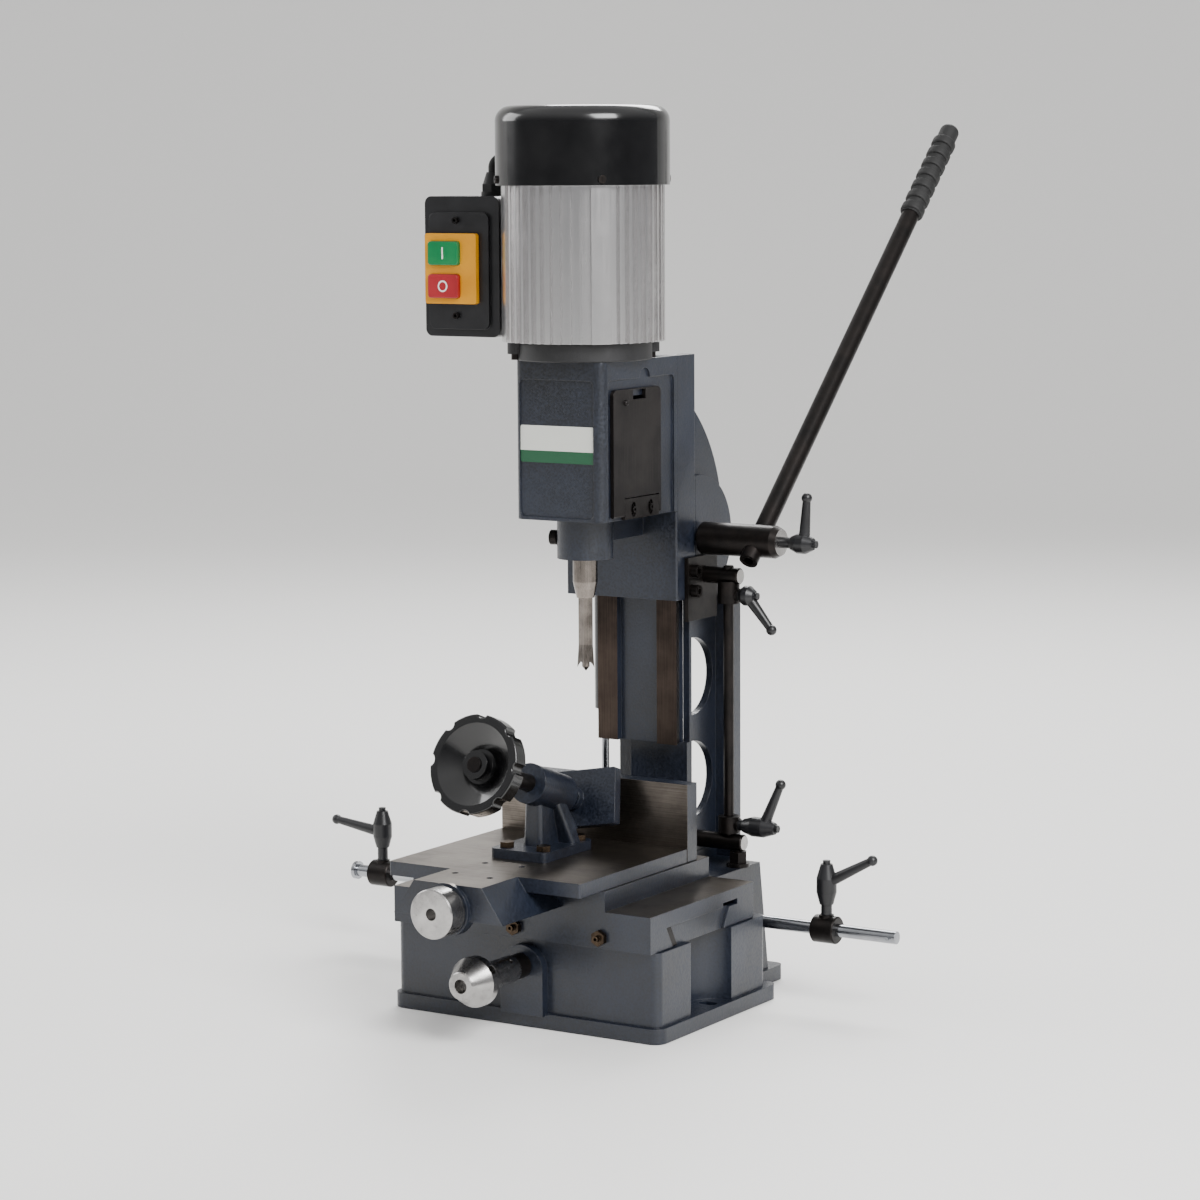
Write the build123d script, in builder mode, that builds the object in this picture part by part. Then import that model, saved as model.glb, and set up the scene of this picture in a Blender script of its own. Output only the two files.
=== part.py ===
"""Benchtop mortiser: a hollow-chisel mortising machine with a compound table.

Millimetres, +Z up, +X to the operator's right, +Y away from the operator.
The pieces are drawn with Y 0 at the fence's face, and are written with the origin
on the base's underside, midway between the bench bolt slots.
"""
from build123d import *
from math import acos, cos, pi, radians, sin, tan
import os

os.makedirs("parts", exist_ok=True)

# ---------------------------------------------------------------- clearances
SLIDE_GAP = 0.1      # between flat sliding faces
FIT = 0.05           # radial, between a shaft and the bore it turns in
AIR = 0.3            # between curved faces that lie against each other
WIN = 0.4            # round a screw that passes through a hole

# ---------------------------------------------------------------- the base
BASE_W = 294.0       # across the plinth
BASE_FRONT = -145.0  # front of the plinth
BASE_BACK = 145.0    # back of the column's foot pad
PLINTH_H = 14.0
PLINTH_LIP = 4.0     # how far the plinth stands out from the walls
PLINTH_BACK = 72.0
BODY_BACK = 55.0     # back of the walls
BODY_TOP = 82.5
BASE_WALL = 12.0
TURRET_TOP = 117.0
TURRET_LEFT = -66.0
TURRET_RIGHT = 100.0
TURRET_FLARE = 9.0   # how much wider the turret is at its foot, on the right
TURRET_FRONT = 37.0
TURRET_BACK = 119.0
PAD_W = 134.0        # the column's foot pad behind the turret
POCKET_R = 37.0      # concave bolt pockets in the sides
POCKET_Y = -47.0
BOLT_SLOT_D = 11.0
BOLT_SLOT_L = 18.0
BOLT_X = 131.0       # bench bolt slots, from the middle
BOLT_Y = -33.0

# ---------------------------------------------------------------- cross slide (X)
RAIL_TOP_W = 104.0   # base dovetail, across Y at its top
RAIL_Y = -60.0
RAIL_H = 20.0
DOVETAIL = 30.0      # flank angle from the vertical
SADDLE_L = 280.0     # along X
SADDLE_FRONT = -149.0
SADDLE_BACK = 36.0
SLAB_TOP = 117.0
X_GIB_T = 8.0
GIB_SCREW_D = 6.0
SADDLE_TRAVEL = 60.0
RACK_PAST = 10.0     # rack past the pinion at each end of the travel

# ---------------------------------------------------------------- table (Y)
SPINDLE_X = 5.0
SPINDLE_Y = -41.0
TABLE_TOP = 149.0
TABLE_T = 13.0
TABLE_L = 208.0      # along X
TABLE_X = -14.0      # its middle
TABLE_FRONT = -187.0
TABLE_BACK = 0.0
TONGUE_W = 73.0      # the slide's top face in front of the table
TONGUE_FRONT = -245.0
SLIDE_FLANK = 35.0   # the table slide's flank angle from the vertical
CHEEK_OUT = 105.0    # saddle cheek, from the slide's middle to its outer face
Y_GIB_T = 6.0

# ---------------------------------------------------------------- column
COLUMN_X = 1.0
WAY_Y = 56.0         # front of the ground ways
WAY_W = 88.0
WAY_T = 17.0
WAY_BOTTOM = 235.0
WAY_TOP = 560.0
WAY_FLANK = 40.0     # dovetail flank of the ways, from the Y axis
LAND_W = 22.0        # ground land on each side of the ways' recess
RECESS_D = 7.0
WEB_T = 15.0
COLUMN_LEFT = -18.0  # outer face of the left wall below the ways
LOW_FRONT = 75.0     # front wall below the ways
FLANGE_Y = 129.0     # front of the rear flange
FLANGE_T = 12.0
FLANGE_HALF = 65.0
FOOT_HALF = 45.0
FOOT_T = 10.0
COLUMN_BOLT_D = 10.0
COLUMN_BOLT_IN = 25.0
COLUMN_BOLTS = ((-30.0, 96.0), (-30.0, 118.0), (14.0, 110.0))
SIDE_T = 7.0         # side walls, as seen at the edge of the windows
WINDOW_FRONT = 84.0  # straight edge of the windows
WINDOW_Y = 86.0      # middle of their round back
WINDOWS = ((161.0, 235.0), (260.0, 335.0))

# ---------------------------------------------------------------- head
HEAD_W = 96.0
HEAD_FRONT = -86.0
HEAD_BOTTOM = 460.0
HEAD_TOP = 606.0
HEAD_R = 9.0         # its upright front corners
HEAD_WALL = 8.0
PLATE_FRONT = 44.0   # front of the sliding plate
PLATE_BACK = 79.0
PLATE_LEFT = -70.0
PLATE_BOTTOM = 375.0
HEAD_GIB_T = 5.0
BOSS_D = 52.0
BOSS_BOTTOM = 422.0
SHANK_D = 19.0       # chisel bush seat in the boss
SHANK_L = 32.0
SET_Z = 440.0        # the bush's set screw
SET_D = 8.0
SET_SLOPE = -0.16
RELIEF = 2.0         # depth of the cast recesses in the head's faces
DOOR_T = 3.8
DOOR_GAP = 0.2
DOOR_FRONT = -70.0
DOOR_BACK = 13.0
DOOR_BOTTOM = 463.0
DOOR_TOP = 580.0
DOOR_R = 6.0
PORT_INSET = 7.0     # how far the door laps over the port in the wall
LEAF_FRONT = -50.6
LEAF_BACK = 8.6
LEAF_BOTTOM = 460.5
LEAF_TOP = 479.5
LEAF_GAP = 0.4       # round the leaf in the door's cut-out
LEAF_SCREWS = (-36.0, -6.0)
LEAF_SCREW_Z = 469.0
LEAF_SCREW_D = 4.0
PIN_Z = 465.0
PIN_D = 2.2

# ---------------------------------------------------------------- motor
MOTOR_FLANGE_D = 126.0
MOTOR_FLANGE_T = 17.0
LUG_ANGLE = 45.0     # the flange's two bolt lugs
LUG_R = 63.5
LUG_END = 71.5
LUG_LOW = 612.0
LUG_T = 10.0
LUG_BOLT_D = 6.0
HOUSING_D = 150.0    # over the fins
HOUSING_H = 142.0
HOUSING_WALL = 5.0
FIN_H = 4.0
FIN_T = 2.6
FIN_STEP = 7.6       # degrees from fin to fin
FINS_A_QUARTER = 9
BAND_W = 18.0        # flat band between the groups of fins
END_PLATE_T = 12.0
STATOR_LOW = 655.0
STATOR_L = 80.0
STATOR_BORE = 74.0
COVER_D = 160.0
COVER_H = 72.0
COVER_WALL = 3.0
COVER_R = 14.0
COVER_SCREW_Z = 770.5
FAN_LOW = 784.0
FAN_H = 26.0
FAN_D = 136.0
FAN_BLADES = 9
SHAFT_D = 15.0
SHAFT_TOP = 816.0
CHUCK_D = 42.0
CHUCK_LOW = 508.0
CHUCK_TOP = 572.0
AUGER_D = 7.2
AUGER_TIP = 316.5

# ---------------------------------------------------------------- chisel
BUSH_D = 23.0
BUSH_LOW = 385.0
BUSH_CONE = 15.0
BUSH_MOUTH_D = 14.0
CHISEL_W = 9.5
CHISEL_TIP = 320.0
CHISEL_FLARE = 11.4  # across the cutting end
CHISEL_CUT_H = 21.0
CHISEL_BORE = 7.8
CHISEL_TURN = -23.0  # as set in the machine, seen from above
CHISEL_SHANK_D = 15.0
CHISEL_SHOULDER = 400.0
CHISEL_END = 448.0

# ---------------------------------------------------------------- lever
HUB_Y = 88.0
HUB_Z = 431.0
HUB_D = 31.0
HUB_START = 57.0
HUB_END = 141.0
GEAR_MODULE = 2.0
GEAR_TEETH = 35
GEAR_W = 20.0
PRESSURE = 20.0      # pressure angle of the teeth
BACKLASH = 0.2       # taken off each tooth's thickness
HEAD_STROKE = 94.7
RACK_BACK = 6.0      # rack, from its pitch line to its back
RACK_HALF = 65.0
RACK_SHIFT = 8       # teeth from the hub's height to the rack's middle
SHAFT_SMALL_D = 15.0
SHAFT_LEFT = -27.0
HUB_WASHER = 135.0
LEVER_STUD_R = 4.0
LEVER_BODY_R = 9.5
BAR_X = 115.5
BAR_D = 18.0
BAR_BELOW = 25.0     # bar past the hub's axis, at its lower end
BAR_TOP = 548.0
BAR_LEAN = 46.0      # degrees back from the vertical at rest
GRIP_D = 24.0
GRIP_START = 431.0
GRIP_END = 556.0
GRIP_RIDGES = 7
RIDGE_OUT = 2.2
HOUSING_DISC_R = 60.0
HOUSING_DISC_T = 7.0

# ---------------------------------------------------------------- depth stop
STOP_X = 82.0
STOP_Y = 91.0
STOP_ROD_D = 10.0
STOP_BAR_D = 16.0
STOP_BAR_Z = 396.0
STOP_BAR_END = 95.0
FOOT_BAR_Z = 140.0
FOOT_NUT_X = 92.0
FOOT_STUD_D = 8.0
ROD_LOW = 134.0
ROD_UNDER_HUB = 9.5  # from the rod's top to the hub above it
STOP_COLLAR_D = 21.0
COLLAR_LOW = 149.0
COLLAR_H = 16.0
UPPER_LOW = 370.0
UPPER_TOP = 391.0
UPPER_LEVER_Z = 378.0
BRACKET_T = 4.0
BRACKET_FRONT = 58.0
BRACKET_BACK = 112.0
BRACKET_LOW = 354.0
BRACKET_HIGH = 414.5
BRACKET_SCREWS = (401.5, 382.5)
BRACKET_SCREW_Y = 67.0
BRACKET_SCREW_D = 8.0
BRACKET_SCREW_IN = 8.0

# ---------------------------------------------------------------- travel stops
ROD_Y = 69.0
ROD_Z = 72.0
ROD_D = 12.0
ROD_LEFT = -344.0
ROD_RIGHT = 274.0
ROD_PLAY = 0.3       # radial, round the rod in the turret's bore
ROD_COLLAR_D = 26.0
ROD_COLLAR_W = 24.0
RIGHT_COLLAR_X = 200.0
LEFT_COLLAR_X = -310.0
LUG_X = -140.0       # the saddle's lug for the rod, its left face
LUG_T_X = 10.0
LUG_RING_R = 11.0

# ---------------------------------------------------------------- feeds
X_FEED_X = 2.0
X_FEED_Z = 58.0
X_TEETH = 24
X_HUB_FRONT = -248.0
X_HUB_D = 46.0
X_HUB_BORE = 13.0
X_NECK_D = 25.0
X_NECK_BACK = -168.0
X_SHAFT_D = 20.0
SPOKE_D = 8.5
SPOKES = (35, 155, 275)
ARCH_FRONT = -150.0
Y_FEED_X = -13.0
Y_FEED_Z = 126.0
Y_COLLAR_FRONT = -271.0
Y_COLLAR_D = 45.0
Y_COLLAR_BORE = 11.0
Y_BOSS_FRONT = -249.0
Y_BOSS_D = 49.0
Y_SCREW_D = 12.0
Y_SCREW_END = -20.0
NUT_FRONT = -112.0
NUT_BACK = -84.0
NUT_W = 20.0
SLIDE_BACK = -14.0
TABLE_HOLES = ((-36.6, -150.0), (-34.7, -201.0), (5.0, -204.0), (2.7, -148.0))

# ---------------------------------------------------------------- work clamp
CLAMP_X = -17.0
CLAMP_TILT = 19.3    # the screw's slope down towards the fence
WHEEL_Y = -189.0
WHEEL_Z = 247.0
WHEEL_D = 92.0
WHEEL_T = 17.0
WHEEL_LOBES = 8
WHEEL_BORE = 14.0
NOTCH_R = 6.0         # between two lobes of the rim
NOTCH_DEEP = 3.5
RIM_W = 8.0
DISH_DEEP = 13.0
HUB_BOSS_R = 13.0
BARREL_D = 38.0
BARREL_START = 87.0  # along the screw from the wheel's middle
BARREL_END = 145.0
CLAMP_SCREW_D = 16.0
PAD_AT = 167.0       # the pad's back, along the screw from the wheel
PAD_WIDE = 92.0
PAD_HIGH = 54.0
PAD_T = 10.0
PAD_ROLL = 10.0
BALL_D = 11.0
FOOT_LEFT = -48.0
FOOT_RIGHT = 13.0
FOOT_FRONT = -126.0
FOOT_BACK = -42.0
FOOT_H = 9.0
FOOT_BOLT_D = 8.0
FOOT_BOLTS = ((-36.0, -114.0), (4.0, -114.0), (-38.0, -52.0), (3.0, -52.0))
FENCE_T = 17.0
FENCE_TOP = 209.5
FENCE_SCREWS = (-95.0, -50.0, 20.0, 68.0)
FENCE_SCREW_D = 6.0
FENCE_SCREW_IN = 12.0

# ---------------------------------------------------------------- switch
BOX_LEFT = -156.0
BOX_RIGHT = -73.0
BOX_FRONT = -63.0
BOX_BACK = -17.0
BOX_LOW = 625.0
BOX_HIGH = 755.0
BOX_WALL = 3.0
BOX_R = 7.0
BEZEL = (-149.6, -82.8, 632.0, 740.0)
BEZEL_T = 3.0
BOX_SCREWS = (644.6, 732.7)
BOX_SCREW_X = -118.4
YELLOW = (-151.0, -93.6, 655.6, 720.8)
YELLOW_T = 5.0
BUTTON_X = -128.5
BUTTON_W = 34.0
BUTTON_H = 22.0
BUTTON_R = 3.0
BUTTON_GAP = 0.2
BUTTON_L = 16.0
BUTTON_OUT = 4.0     # how far the buttons stand out of the yellow plate
START_Z = 702.5
STOP_Z = 672.0
GLAND_X = -97.0
GLAND_Y = -38.0
GLAND_H = 22.0        # over the box
CABLE_D = 6.5
CABLE_R = 10.0
CABLE_RISE = 791.0
CABLE_END = (-70.0, -20.0, 791.0)

# ---------------------------------------------------------------- strut
STRUT_X = -60.0
STRUT_Y = 96.0
STRUT_TUBE_D = 20.0
STRUT_TUBE_LOW = 258.0
STRUT_TUBE_HIGH = 430.0
STRUT_ROD_D = 7.0
STRUT_IN = 272.0     # height of the piston at rest

# ---------------------------------------------------------------- derived sizes
PITCH_R = GEAR_MODULE * GEAR_TEETH / 2
DEPTH_ROD_TOP = HUB_Z - HUB_D / 2 - ROD_UNDER_HUB
RACK_Y = HUB_Y - PITCH_R
HEAD_LEFT = SPINDLE_X - HEAD_W / 2
HEAD_RIGHT = SPINDLE_X + HEAD_W / 2
HOUSING_LOW = HEAD_TOP + MOTOR_FLANGE_T
HOUSING_HIGH = HOUSING_LOW + HOUSING_H
WAY_RIGHT = COLUMN_X + WAY_W / 2
WAY_LEFT = COLUMN_X - WAY_W / 2
TABLE_RIGHT = TABLE_X + TABLE_L / 2
TABLE_LEFT = TABLE_X - TABLE_L / 2


def save(piece, label):
    """Name a finished piece and write its file, with the origin between the bolt slots."""
    to_origin = Location((0, -BOLT_Y, 0))
    if piece.children:
        piece = group([child.moved(to_origin) for child in piece.children])
    else:
        piece = piece.moved(to_origin)
    piece.label = label
    export_step(piece, f"parts/{label}.step")
    return piece


def bar(at, toward, radius, length, mode=Mode.ADD):
    """A round bar, or with SUBTRACT a hole, from a point along a direction."""
    with Locations(Plane(origin=at, z_dir=toward).location):
        Cylinder(radius, length, align=(Align.CENTER, Align.CENTER, Align.MIN), mode=mode)


def drill(at, toward, radius, length):
    """A round hole from a point along a direction."""
    bar(at, toward, radius, length, mode=Mode.SUBTRACT)


def block(low, high, mode=Mode.ADD):
    """A box between two corners."""
    middle = [(a + b) / 2 for a, b in zip(low, high)]
    size = [b - a for a, b in zip(low, high)]
    with Locations(tuple(middle)):
        Box(*size, mode=mode)


def put(piece, at, toward, across=None):
    """A piece drawn about +Z, moved to a point and turned to a direction."""
    return piece.moved(Plane(origin=at, x_dir=across, z_dir=toward).location)


def socket_screw(diameter, grip):
    """A cap screw: its seat at the origin, its shank down -Z."""
    head_r, head_h = diameter * 0.75, diameter * 0.9
    with BuildPart() as screw:
        bar((0, 0, 0), (0, 0, 1), head_r, head_h)
        bar((0, 0, 0), (0, 0, -1), diameter / 2, grip)
        with BuildSketch(Plane.XY.offset(head_h)):
            RegularPolygon(diameter * 0.42, 6)
        extrude(amount=-head_h * 0.6, mode=Mode.SUBTRACT)
    return screw.part


def hex_bolt(diameter, grip):
    """A hexagon bolt: its seat at the origin, its shank down -Z."""
    with BuildPart() as bolt:
        with BuildSketch():
            RegularPolygon(diameter * 0.9, 6)
        extrude(amount=diameter * 0.65)
        bar((0, 0, 0), (0, 0, -1), diameter / 2, grip)
    return bolt.part


def gear_outline(teeth, module):
    """Corner points of an involute gear with a tooth centred on +X."""
    pitch, base = module * teeth / 2, module * teeth / 2 * cos(radians(PRESSURE))
    tip, root = pitch + module, pitch - 1.25 * module
    half = (pi * module / 2 - BACKLASH) / 2 / pitch
    involute = tan(radians(PRESSURE)) - radians(PRESSURE)
    flank = []
    for step in range(6):
        radius = max(base, root) + (tip - max(base, root)) * step / 5
        turn = acos(base / radius)
        flank.append((radius, half + involute - (tan(turn) - turn)))
    points = []
    for tooth in range(teeth):
        middle = 2 * pi * tooth / teeth
        points.append((root, middle - flank[0][1]))
        points += [(radius, middle - angle) for radius, angle in flank]
        points += [(radius, middle + angle) for radius, angle in reversed(flank)]
        points.append((root, middle + flank[0][1]))
    return [(radius * cos(angle), radius * sin(angle)) for radius, angle in points]


def rack_outline(module, half_length, back):
    """Corner points of a rack along X, teeth towards -Y, a gap at the middle."""
    pitch = pi * module
    slope = tan(radians(PRESSURE))
    half = (pitch / 2 - BACKLASH) / 2
    count = int(half_length / pitch - 1)
    points = [(-half_length, back), (-half_length, 1.25 * module)]
    for tooth in range(-count - 1, count + 1):
        middle = (tooth + 0.5) * pitch
        points += [
            (middle - half - 1.25 * module * slope, 1.25 * module),
            (middle - half + module * slope, -module),
            (middle + half - module * slope, -module),
            (middle + half + 1.25 * module * slope, 1.25 * module),
        ]
    return points + [(half_length, 1.25 * module), (half_length, back)]


def group(pieces):
    """Several separate solids in one node."""
    return Compound(children=[piece for piece in pieces])


# ================================================================ BASE
half_base = BASE_W / 2
body_front = BASE_FRONT + PLINTH_LIP
body_w = BASE_W - 2 * PLINTH_LIP
rail_drop = RAIL_H * tan(radians(DOVETAIL))
rail_low_w = RAIL_TOP_W - 2 * rail_drop
rail_top = BODY_TOP + RAIL_H
rail_half = body_w / 2 - 6
turret_foot = TURRET_RIGHT + TURRET_FLARE
x_pitch_r = GEAR_MODULE * X_TEETH / 2
x_pitch_z = X_FEED_Z + x_pitch_r
x_rack_half = SADDLE_TRAVEL + RACK_PAST
channel_low = x_pitch_z - GEAR_MODULE - 1

with BuildPart() as base_casting:
    with BuildSketch():
        with Locations((0, (BASE_FRONT + PLINTH_BACK) / 2)):
            RectangleRounded(BASE_W, PLINTH_BACK - BASE_FRONT, 12)
        with Locations(((TURRET_LEFT + turret_foot) / 2, (TURRET_FRONT + BASE_BACK) / 2)):
            RectangleRounded(
                turret_foot - TURRET_LEFT + 2 * PLINTH_LIP, BASE_BACK - TURRET_FRONT, 10
            )
    extrude(amount=PLINTH_H)
    with BuildSketch(Plane.XY.offset(PLINTH_H)):
        with Locations((0, (body_front + BODY_BACK) / 2)):
            RectangleRounded(body_w, BODY_BACK - body_front, 8)
        with Locations((half_base, POCKET_Y), (-half_base, POCKET_Y)):
            Circle(POCKET_R, mode=Mode.SUBTRACT)
    extrude(amount=BODY_TOP - PLINTH_H)
    # the turret that carries the column, flared to the right at its foot
    with BuildSketch(Plane.XZ.offset(-TURRET_BACK)):
        with BuildLine():
            Polyline(
                (TURRET_LEFT, PLINTH_H), (turret_foot, PLINTH_H),
                (TURRET_RIGHT, TURRET_TOP), (TURRET_LEFT, TURRET_TOP), close=True,
            )
        make_face()
    extrude(amount=TURRET_BACK - TURRET_FRONT)
    with BuildSketch(Plane.XY.offset(PLINTH_H)):
        with Locations((COLUMN_X, (TURRET_BACK - 10 + BASE_BACK - PLINTH_LIP) / 2)):
            RectangleRounded(PAD_W, BASE_BACK - PLINTH_LIP - TURRET_BACK + 10, 8)
    extrude(amount=TURRET_TOP - PLINTH_H)
    # dovetail rail for the saddle, wider at its top
    with BuildSketch(Plane.YZ.offset(-rail_half)):
        with BuildLine():
            Polyline(
                (RAIL_Y - RAIL_TOP_W / 2, rail_top), (RAIL_Y + RAIL_TOP_W / 2, rail_top),
                (RAIL_Y + rail_low_w / 2, BODY_TOP), (RAIL_Y - rail_low_w / 2, BODY_TOP),
                close=True,
            )
        make_face()
    extrude(amount=2 * rail_half)
    # boss round the feed shaft, rounded at its top, on the front wall
    with BuildSketch(Plane.XZ.offset(-body_front - 5)):
        with BuildLine():
            Polyline(
                (X_FEED_X - 23, X_FEED_Z - 4), (X_FEED_X - 23, PLINTH_H - 2),
                (X_FEED_X + 23, PLINTH_H - 2), (X_FEED_X + 23, X_FEED_Z - 4),
            )
            ThreePointArc(
                (X_FEED_X + 23, X_FEED_Z - 4), (X_FEED_X, X_FEED_Z + 19),
                (X_FEED_X - 23, X_FEED_Z - 4),
            )
        make_face()
    extrude(amount=5 + body_front - ARCH_FRONT)
    # hollow underside
    under_half = body_w / 2 - POCKET_R - BASE_WALL
    block(
        (-under_half, body_front + BASE_WALL, 0),
        (under_half, TURRET_FRONT - BASE_WALL, BODY_TOP - BASE_WALL), mode=Mode.SUBTRACT,
    )
    block(
        (TURRET_LEFT + BASE_WALL, TURRET_FRONT, 0),
        (TURRET_RIGHT - BASE_WALL, TURRET_BACK - BASE_WALL, ROD_Z - ROD_D - BASE_WALL),
        mode=Mode.SUBTRACT,
    )
    # inner bearing of the feed shaft
    block(
        (X_FEED_X - 14, RAIL_Y + GEAR_W / 2 + 4, X_FEED_Z - 16),
        (X_FEED_X + 14, RAIL_Y + GEAR_W / 2 + 14, BODY_TOP - BASE_WALL + 1),
    )
    # bench bolt slots
    with BuildSketch():
        with Locations((BOLT_X, BOLT_Y), (-BOLT_X, BOLT_Y)):
            SlotOverall(BOLT_SLOT_L, BOLT_SLOT_D)
    extrude(amount=PLINTH_H, mode=Mode.SUBTRACT)
    # bores for the travel stop rod and the feed shaft
    drill((-half_base, ROD_Y, ROD_Z), (1, 0, 0), ROD_D / 2 + ROD_PLAY, BASE_W)
    drill((X_FEED_X, ARCH_FRONT, X_FEED_Z), (0, 1, 0), X_SHAFT_D / 2 + FIT, 120)
    # channel for the rack and, through its floor, room for the pinion
    block(
        (X_FEED_X - x_rack_half - SADDLE_TRAVEL - 2, RAIL_Y - GEAR_W / 2 - 2, channel_low),
        (X_FEED_X + x_rack_half + SADDLE_TRAVEL + 2, RAIL_Y + GEAR_W / 2 + 2, rail_top + 1),
        mode=Mode.SUBTRACT,
    )
    block(
        (X_FEED_X - x_pitch_r - 4, RAIL_Y - GEAR_W / 2 - 1, BODY_TOP - BASE_WALL - 1),
        (X_FEED_X + x_pitch_r + 4, RAIL_Y + GEAR_W / 2 + 1, channel_low + 1), mode=Mode.SUBTRACT,
    )
    # tapped holes for the column's bolts and the foot bar's stud
    for x, y in COLUMN_BOLTS:
        drill((x, y, TURRET_TOP), (0, 0, -1), COLUMN_BOLT_D / 2, COLUMN_BOLT_IN)
    drill((FOOT_NUT_X, STOP_Y, TURRET_TOP), (0, 0, -1), FOOT_STUD_D / 2, 20)
save(base_casting.part, "base_casting")

# ================================================================ COLUMN
way_back = WAY_Y + WAY_T
flank_in = WAY_T * tan(radians(WAY_FLANK)) / 2
neck_right = WAY_RIGHT - flank_in
shaft_r = SHAFT_SMALL_D / 2
chamber_r = PITCH_R + GEAR_MODULE + 2
chamber_low, chamber_high = COLUMN_X - GEAR_W / 2 - 2, COLUMN_X + GEAR_W / 2 + 2
cut_y = PLATE_BACK + 1

with BuildPart() as column:
    # ground ways: a plate whose side flanks are a dovetail
    with BuildSketch(Plane.XY.offset(WAY_BOTTOM)):
        with BuildLine():
            Polyline(
                (WAY_LEFT, WAY_Y), (WAY_RIGHT, WAY_Y), (neck_right, way_back),
                (WAY_LEFT + flank_in, way_back), close=True,
            )
        make_face()
        with Locations((COLUMN_X, WAY_Y + RECESS_D / 2)):
            Rectangle(WAY_W - 2 * LAND_W, RECESS_D, mode=Mode.SUBTRACT)
    extrude(amount=WAY_TOP - WAY_BOTTOM)
    # neck between the ways and the walls
    block((COLUMN_LEFT, way_back, WAY_BOTTOM), (neck_right, cut_y, WAY_TOP))
    # front wall below the ways
    block((COLUMN_LEFT, LOW_FRONT, TURRET_TOP), (WAY_RIGHT, LOW_FRONT + WEB_T, WAY_BOTTOM))
    # side walls
    for x in (COLUMN_LEFT, WAY_RIGHT - SIDE_T):
        block((x, cut_y, TURRET_TOP), (x + SIDE_T, FLANGE_Y + FLANGE_T, HUB_Z))
    # rear flanges
    block((COLUMN_X - FLANGE_HALF, FLANGE_Y, TURRET_TOP), (COLUMN_LEFT, FLANGE_Y + FLANGE_T, HUB_Z))
    block(
        (WAY_RIGHT, FLANGE_Y, TURRET_TOP),
        (COLUMN_X + FLANGE_HALF, FLANGE_Y + FLANGE_T, HUB_Z - HOUSING_DISC_R),
    )
    # foot
    block(
        (COLUMN_X - FOOT_HALF, cut_y, TURRET_TOP),
        (COLUMN_X + FOOT_HALF, FLANGE_Y + FLANGE_T, TURRET_TOP + FOOT_T),
    )
    # head of the column, its back curving up to the top of the ways
    with BuildSketch(Plane.YZ.offset(COLUMN_LEFT)):
        with BuildLine():
            Polyline(
                (cut_y, WAY_TOP), (cut_y, HUB_Z - HOUSING_DISC_R),
                (FLANGE_Y + FLANGE_T, HUB_Z - HOUSING_DISC_R), (FLANGE_Y + FLANGE_T, HUB_Z + 30),
            )
            ThreePointArc(
                (FLANGE_Y + FLANGE_T, HUB_Z + 30), (118, 520), (cut_y, WAY_TOP),
            )
        make_face()
    extrude(amount=WAY_RIGHT - COLUMN_LEFT)
    block(
        (COLUMN_LEFT + WEB_T, cut_y + 8, HUB_Z - HOUSING_DISC_R - 1),
        (WAY_RIGHT - WEB_T, FLANGE_Y + FLANGE_T + 1, HUB_Z + 62), mode=Mode.SUBTRACT,
    )
    # disc on the right wall about the shaft
    with BuildSketch(Plane.YZ.offset(WAY_RIGHT - 1)):
        with Locations((HUB_Y, HUB_Z)):
            Circle(HOUSING_DISC_R)
        with Locations((cut_y - HOUSING_DISC_R, HUB_Z)):
            Rectangle(2 * HOUSING_DISC_R, 2 * HOUSING_DISC_R, mode=Mode.SUBTRACT)
    extrude(amount=HOUSING_DISC_T + 1)
    # chamber for the pinion, open to the rack in front
    bar((chamber_low, HUB_Y, HUB_Z), (1, 0, 0), chamber_r, chamber_high - chamber_low, Mode.SUBTRACT)
    # bore for the shaft
    drill((COLUMN_LEFT - 1, HUB_Y, HUB_Z), (1, 0, 0), shaft_r + FIT, 200)
    # windows through both walls, straight in front and round behind
    for low, high in WINDOWS:
        with BuildSketch(Plane.YZ.offset(COLUMN_LEFT - 1)):
            with Locations((WINDOW_Y, (low + high) / 2)):
                Circle((high - low) / 2)
            with Locations((WINDOW_FRONT - (high - low), (low + high) / 2)):
                Rectangle(2 * (high - low), 2 * (high - low), mode=Mode.SUBTRACT)
        extrude(amount=WAY_RIGHT - COLUMN_LEFT + 2, mode=Mode.SUBTRACT)
    for x, y in COLUMN_BOLTS:
        drill((x, y, TURRET_TOP - 1), (0, 0, 1), COLUMN_BOLT_D / 2 + WIN, FOOT_T + 2)
save(column.part, "column")

# ================================================================ DEPTH STOP ROD
with BuildPart() as rod_foot_bar:
    bar((WAY_RIGHT, STOP_Y, FOOT_BAR_Z), (1, 0, 0), STOP_BAR_D / 2, STOP_BAR_END + 4 - WAY_RIGHT)
    chamfer(rod_foot_bar.faces().sort_by(Axis.X)[-1].edges(), 1.2)
    drill((STOP_X, STOP_Y, ROD_LOW), (0, 0, 1), STOP_ROD_D / 2, STOP_BAR_D)
    drill((FOOT_NUT_X, STOP_Y, FOOT_BAR_Z - STOP_BAR_D), (0, 0, 1), FOOT_STUD_D / 2, 16)
save(rod_foot_bar.part, "rod_foot_bar")

with BuildPart() as depth_rod:
    bar((STOP_X, STOP_Y, ROD_LOW), (0, 0, 1), STOP_ROD_D / 2, DEPTH_ROD_TOP - ROD_LOW)
    chamfer(depth_rod.faces().sort_by(Axis.Z)[-1].edges(), 1)
save(depth_rod.part, "depth_rod")

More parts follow.
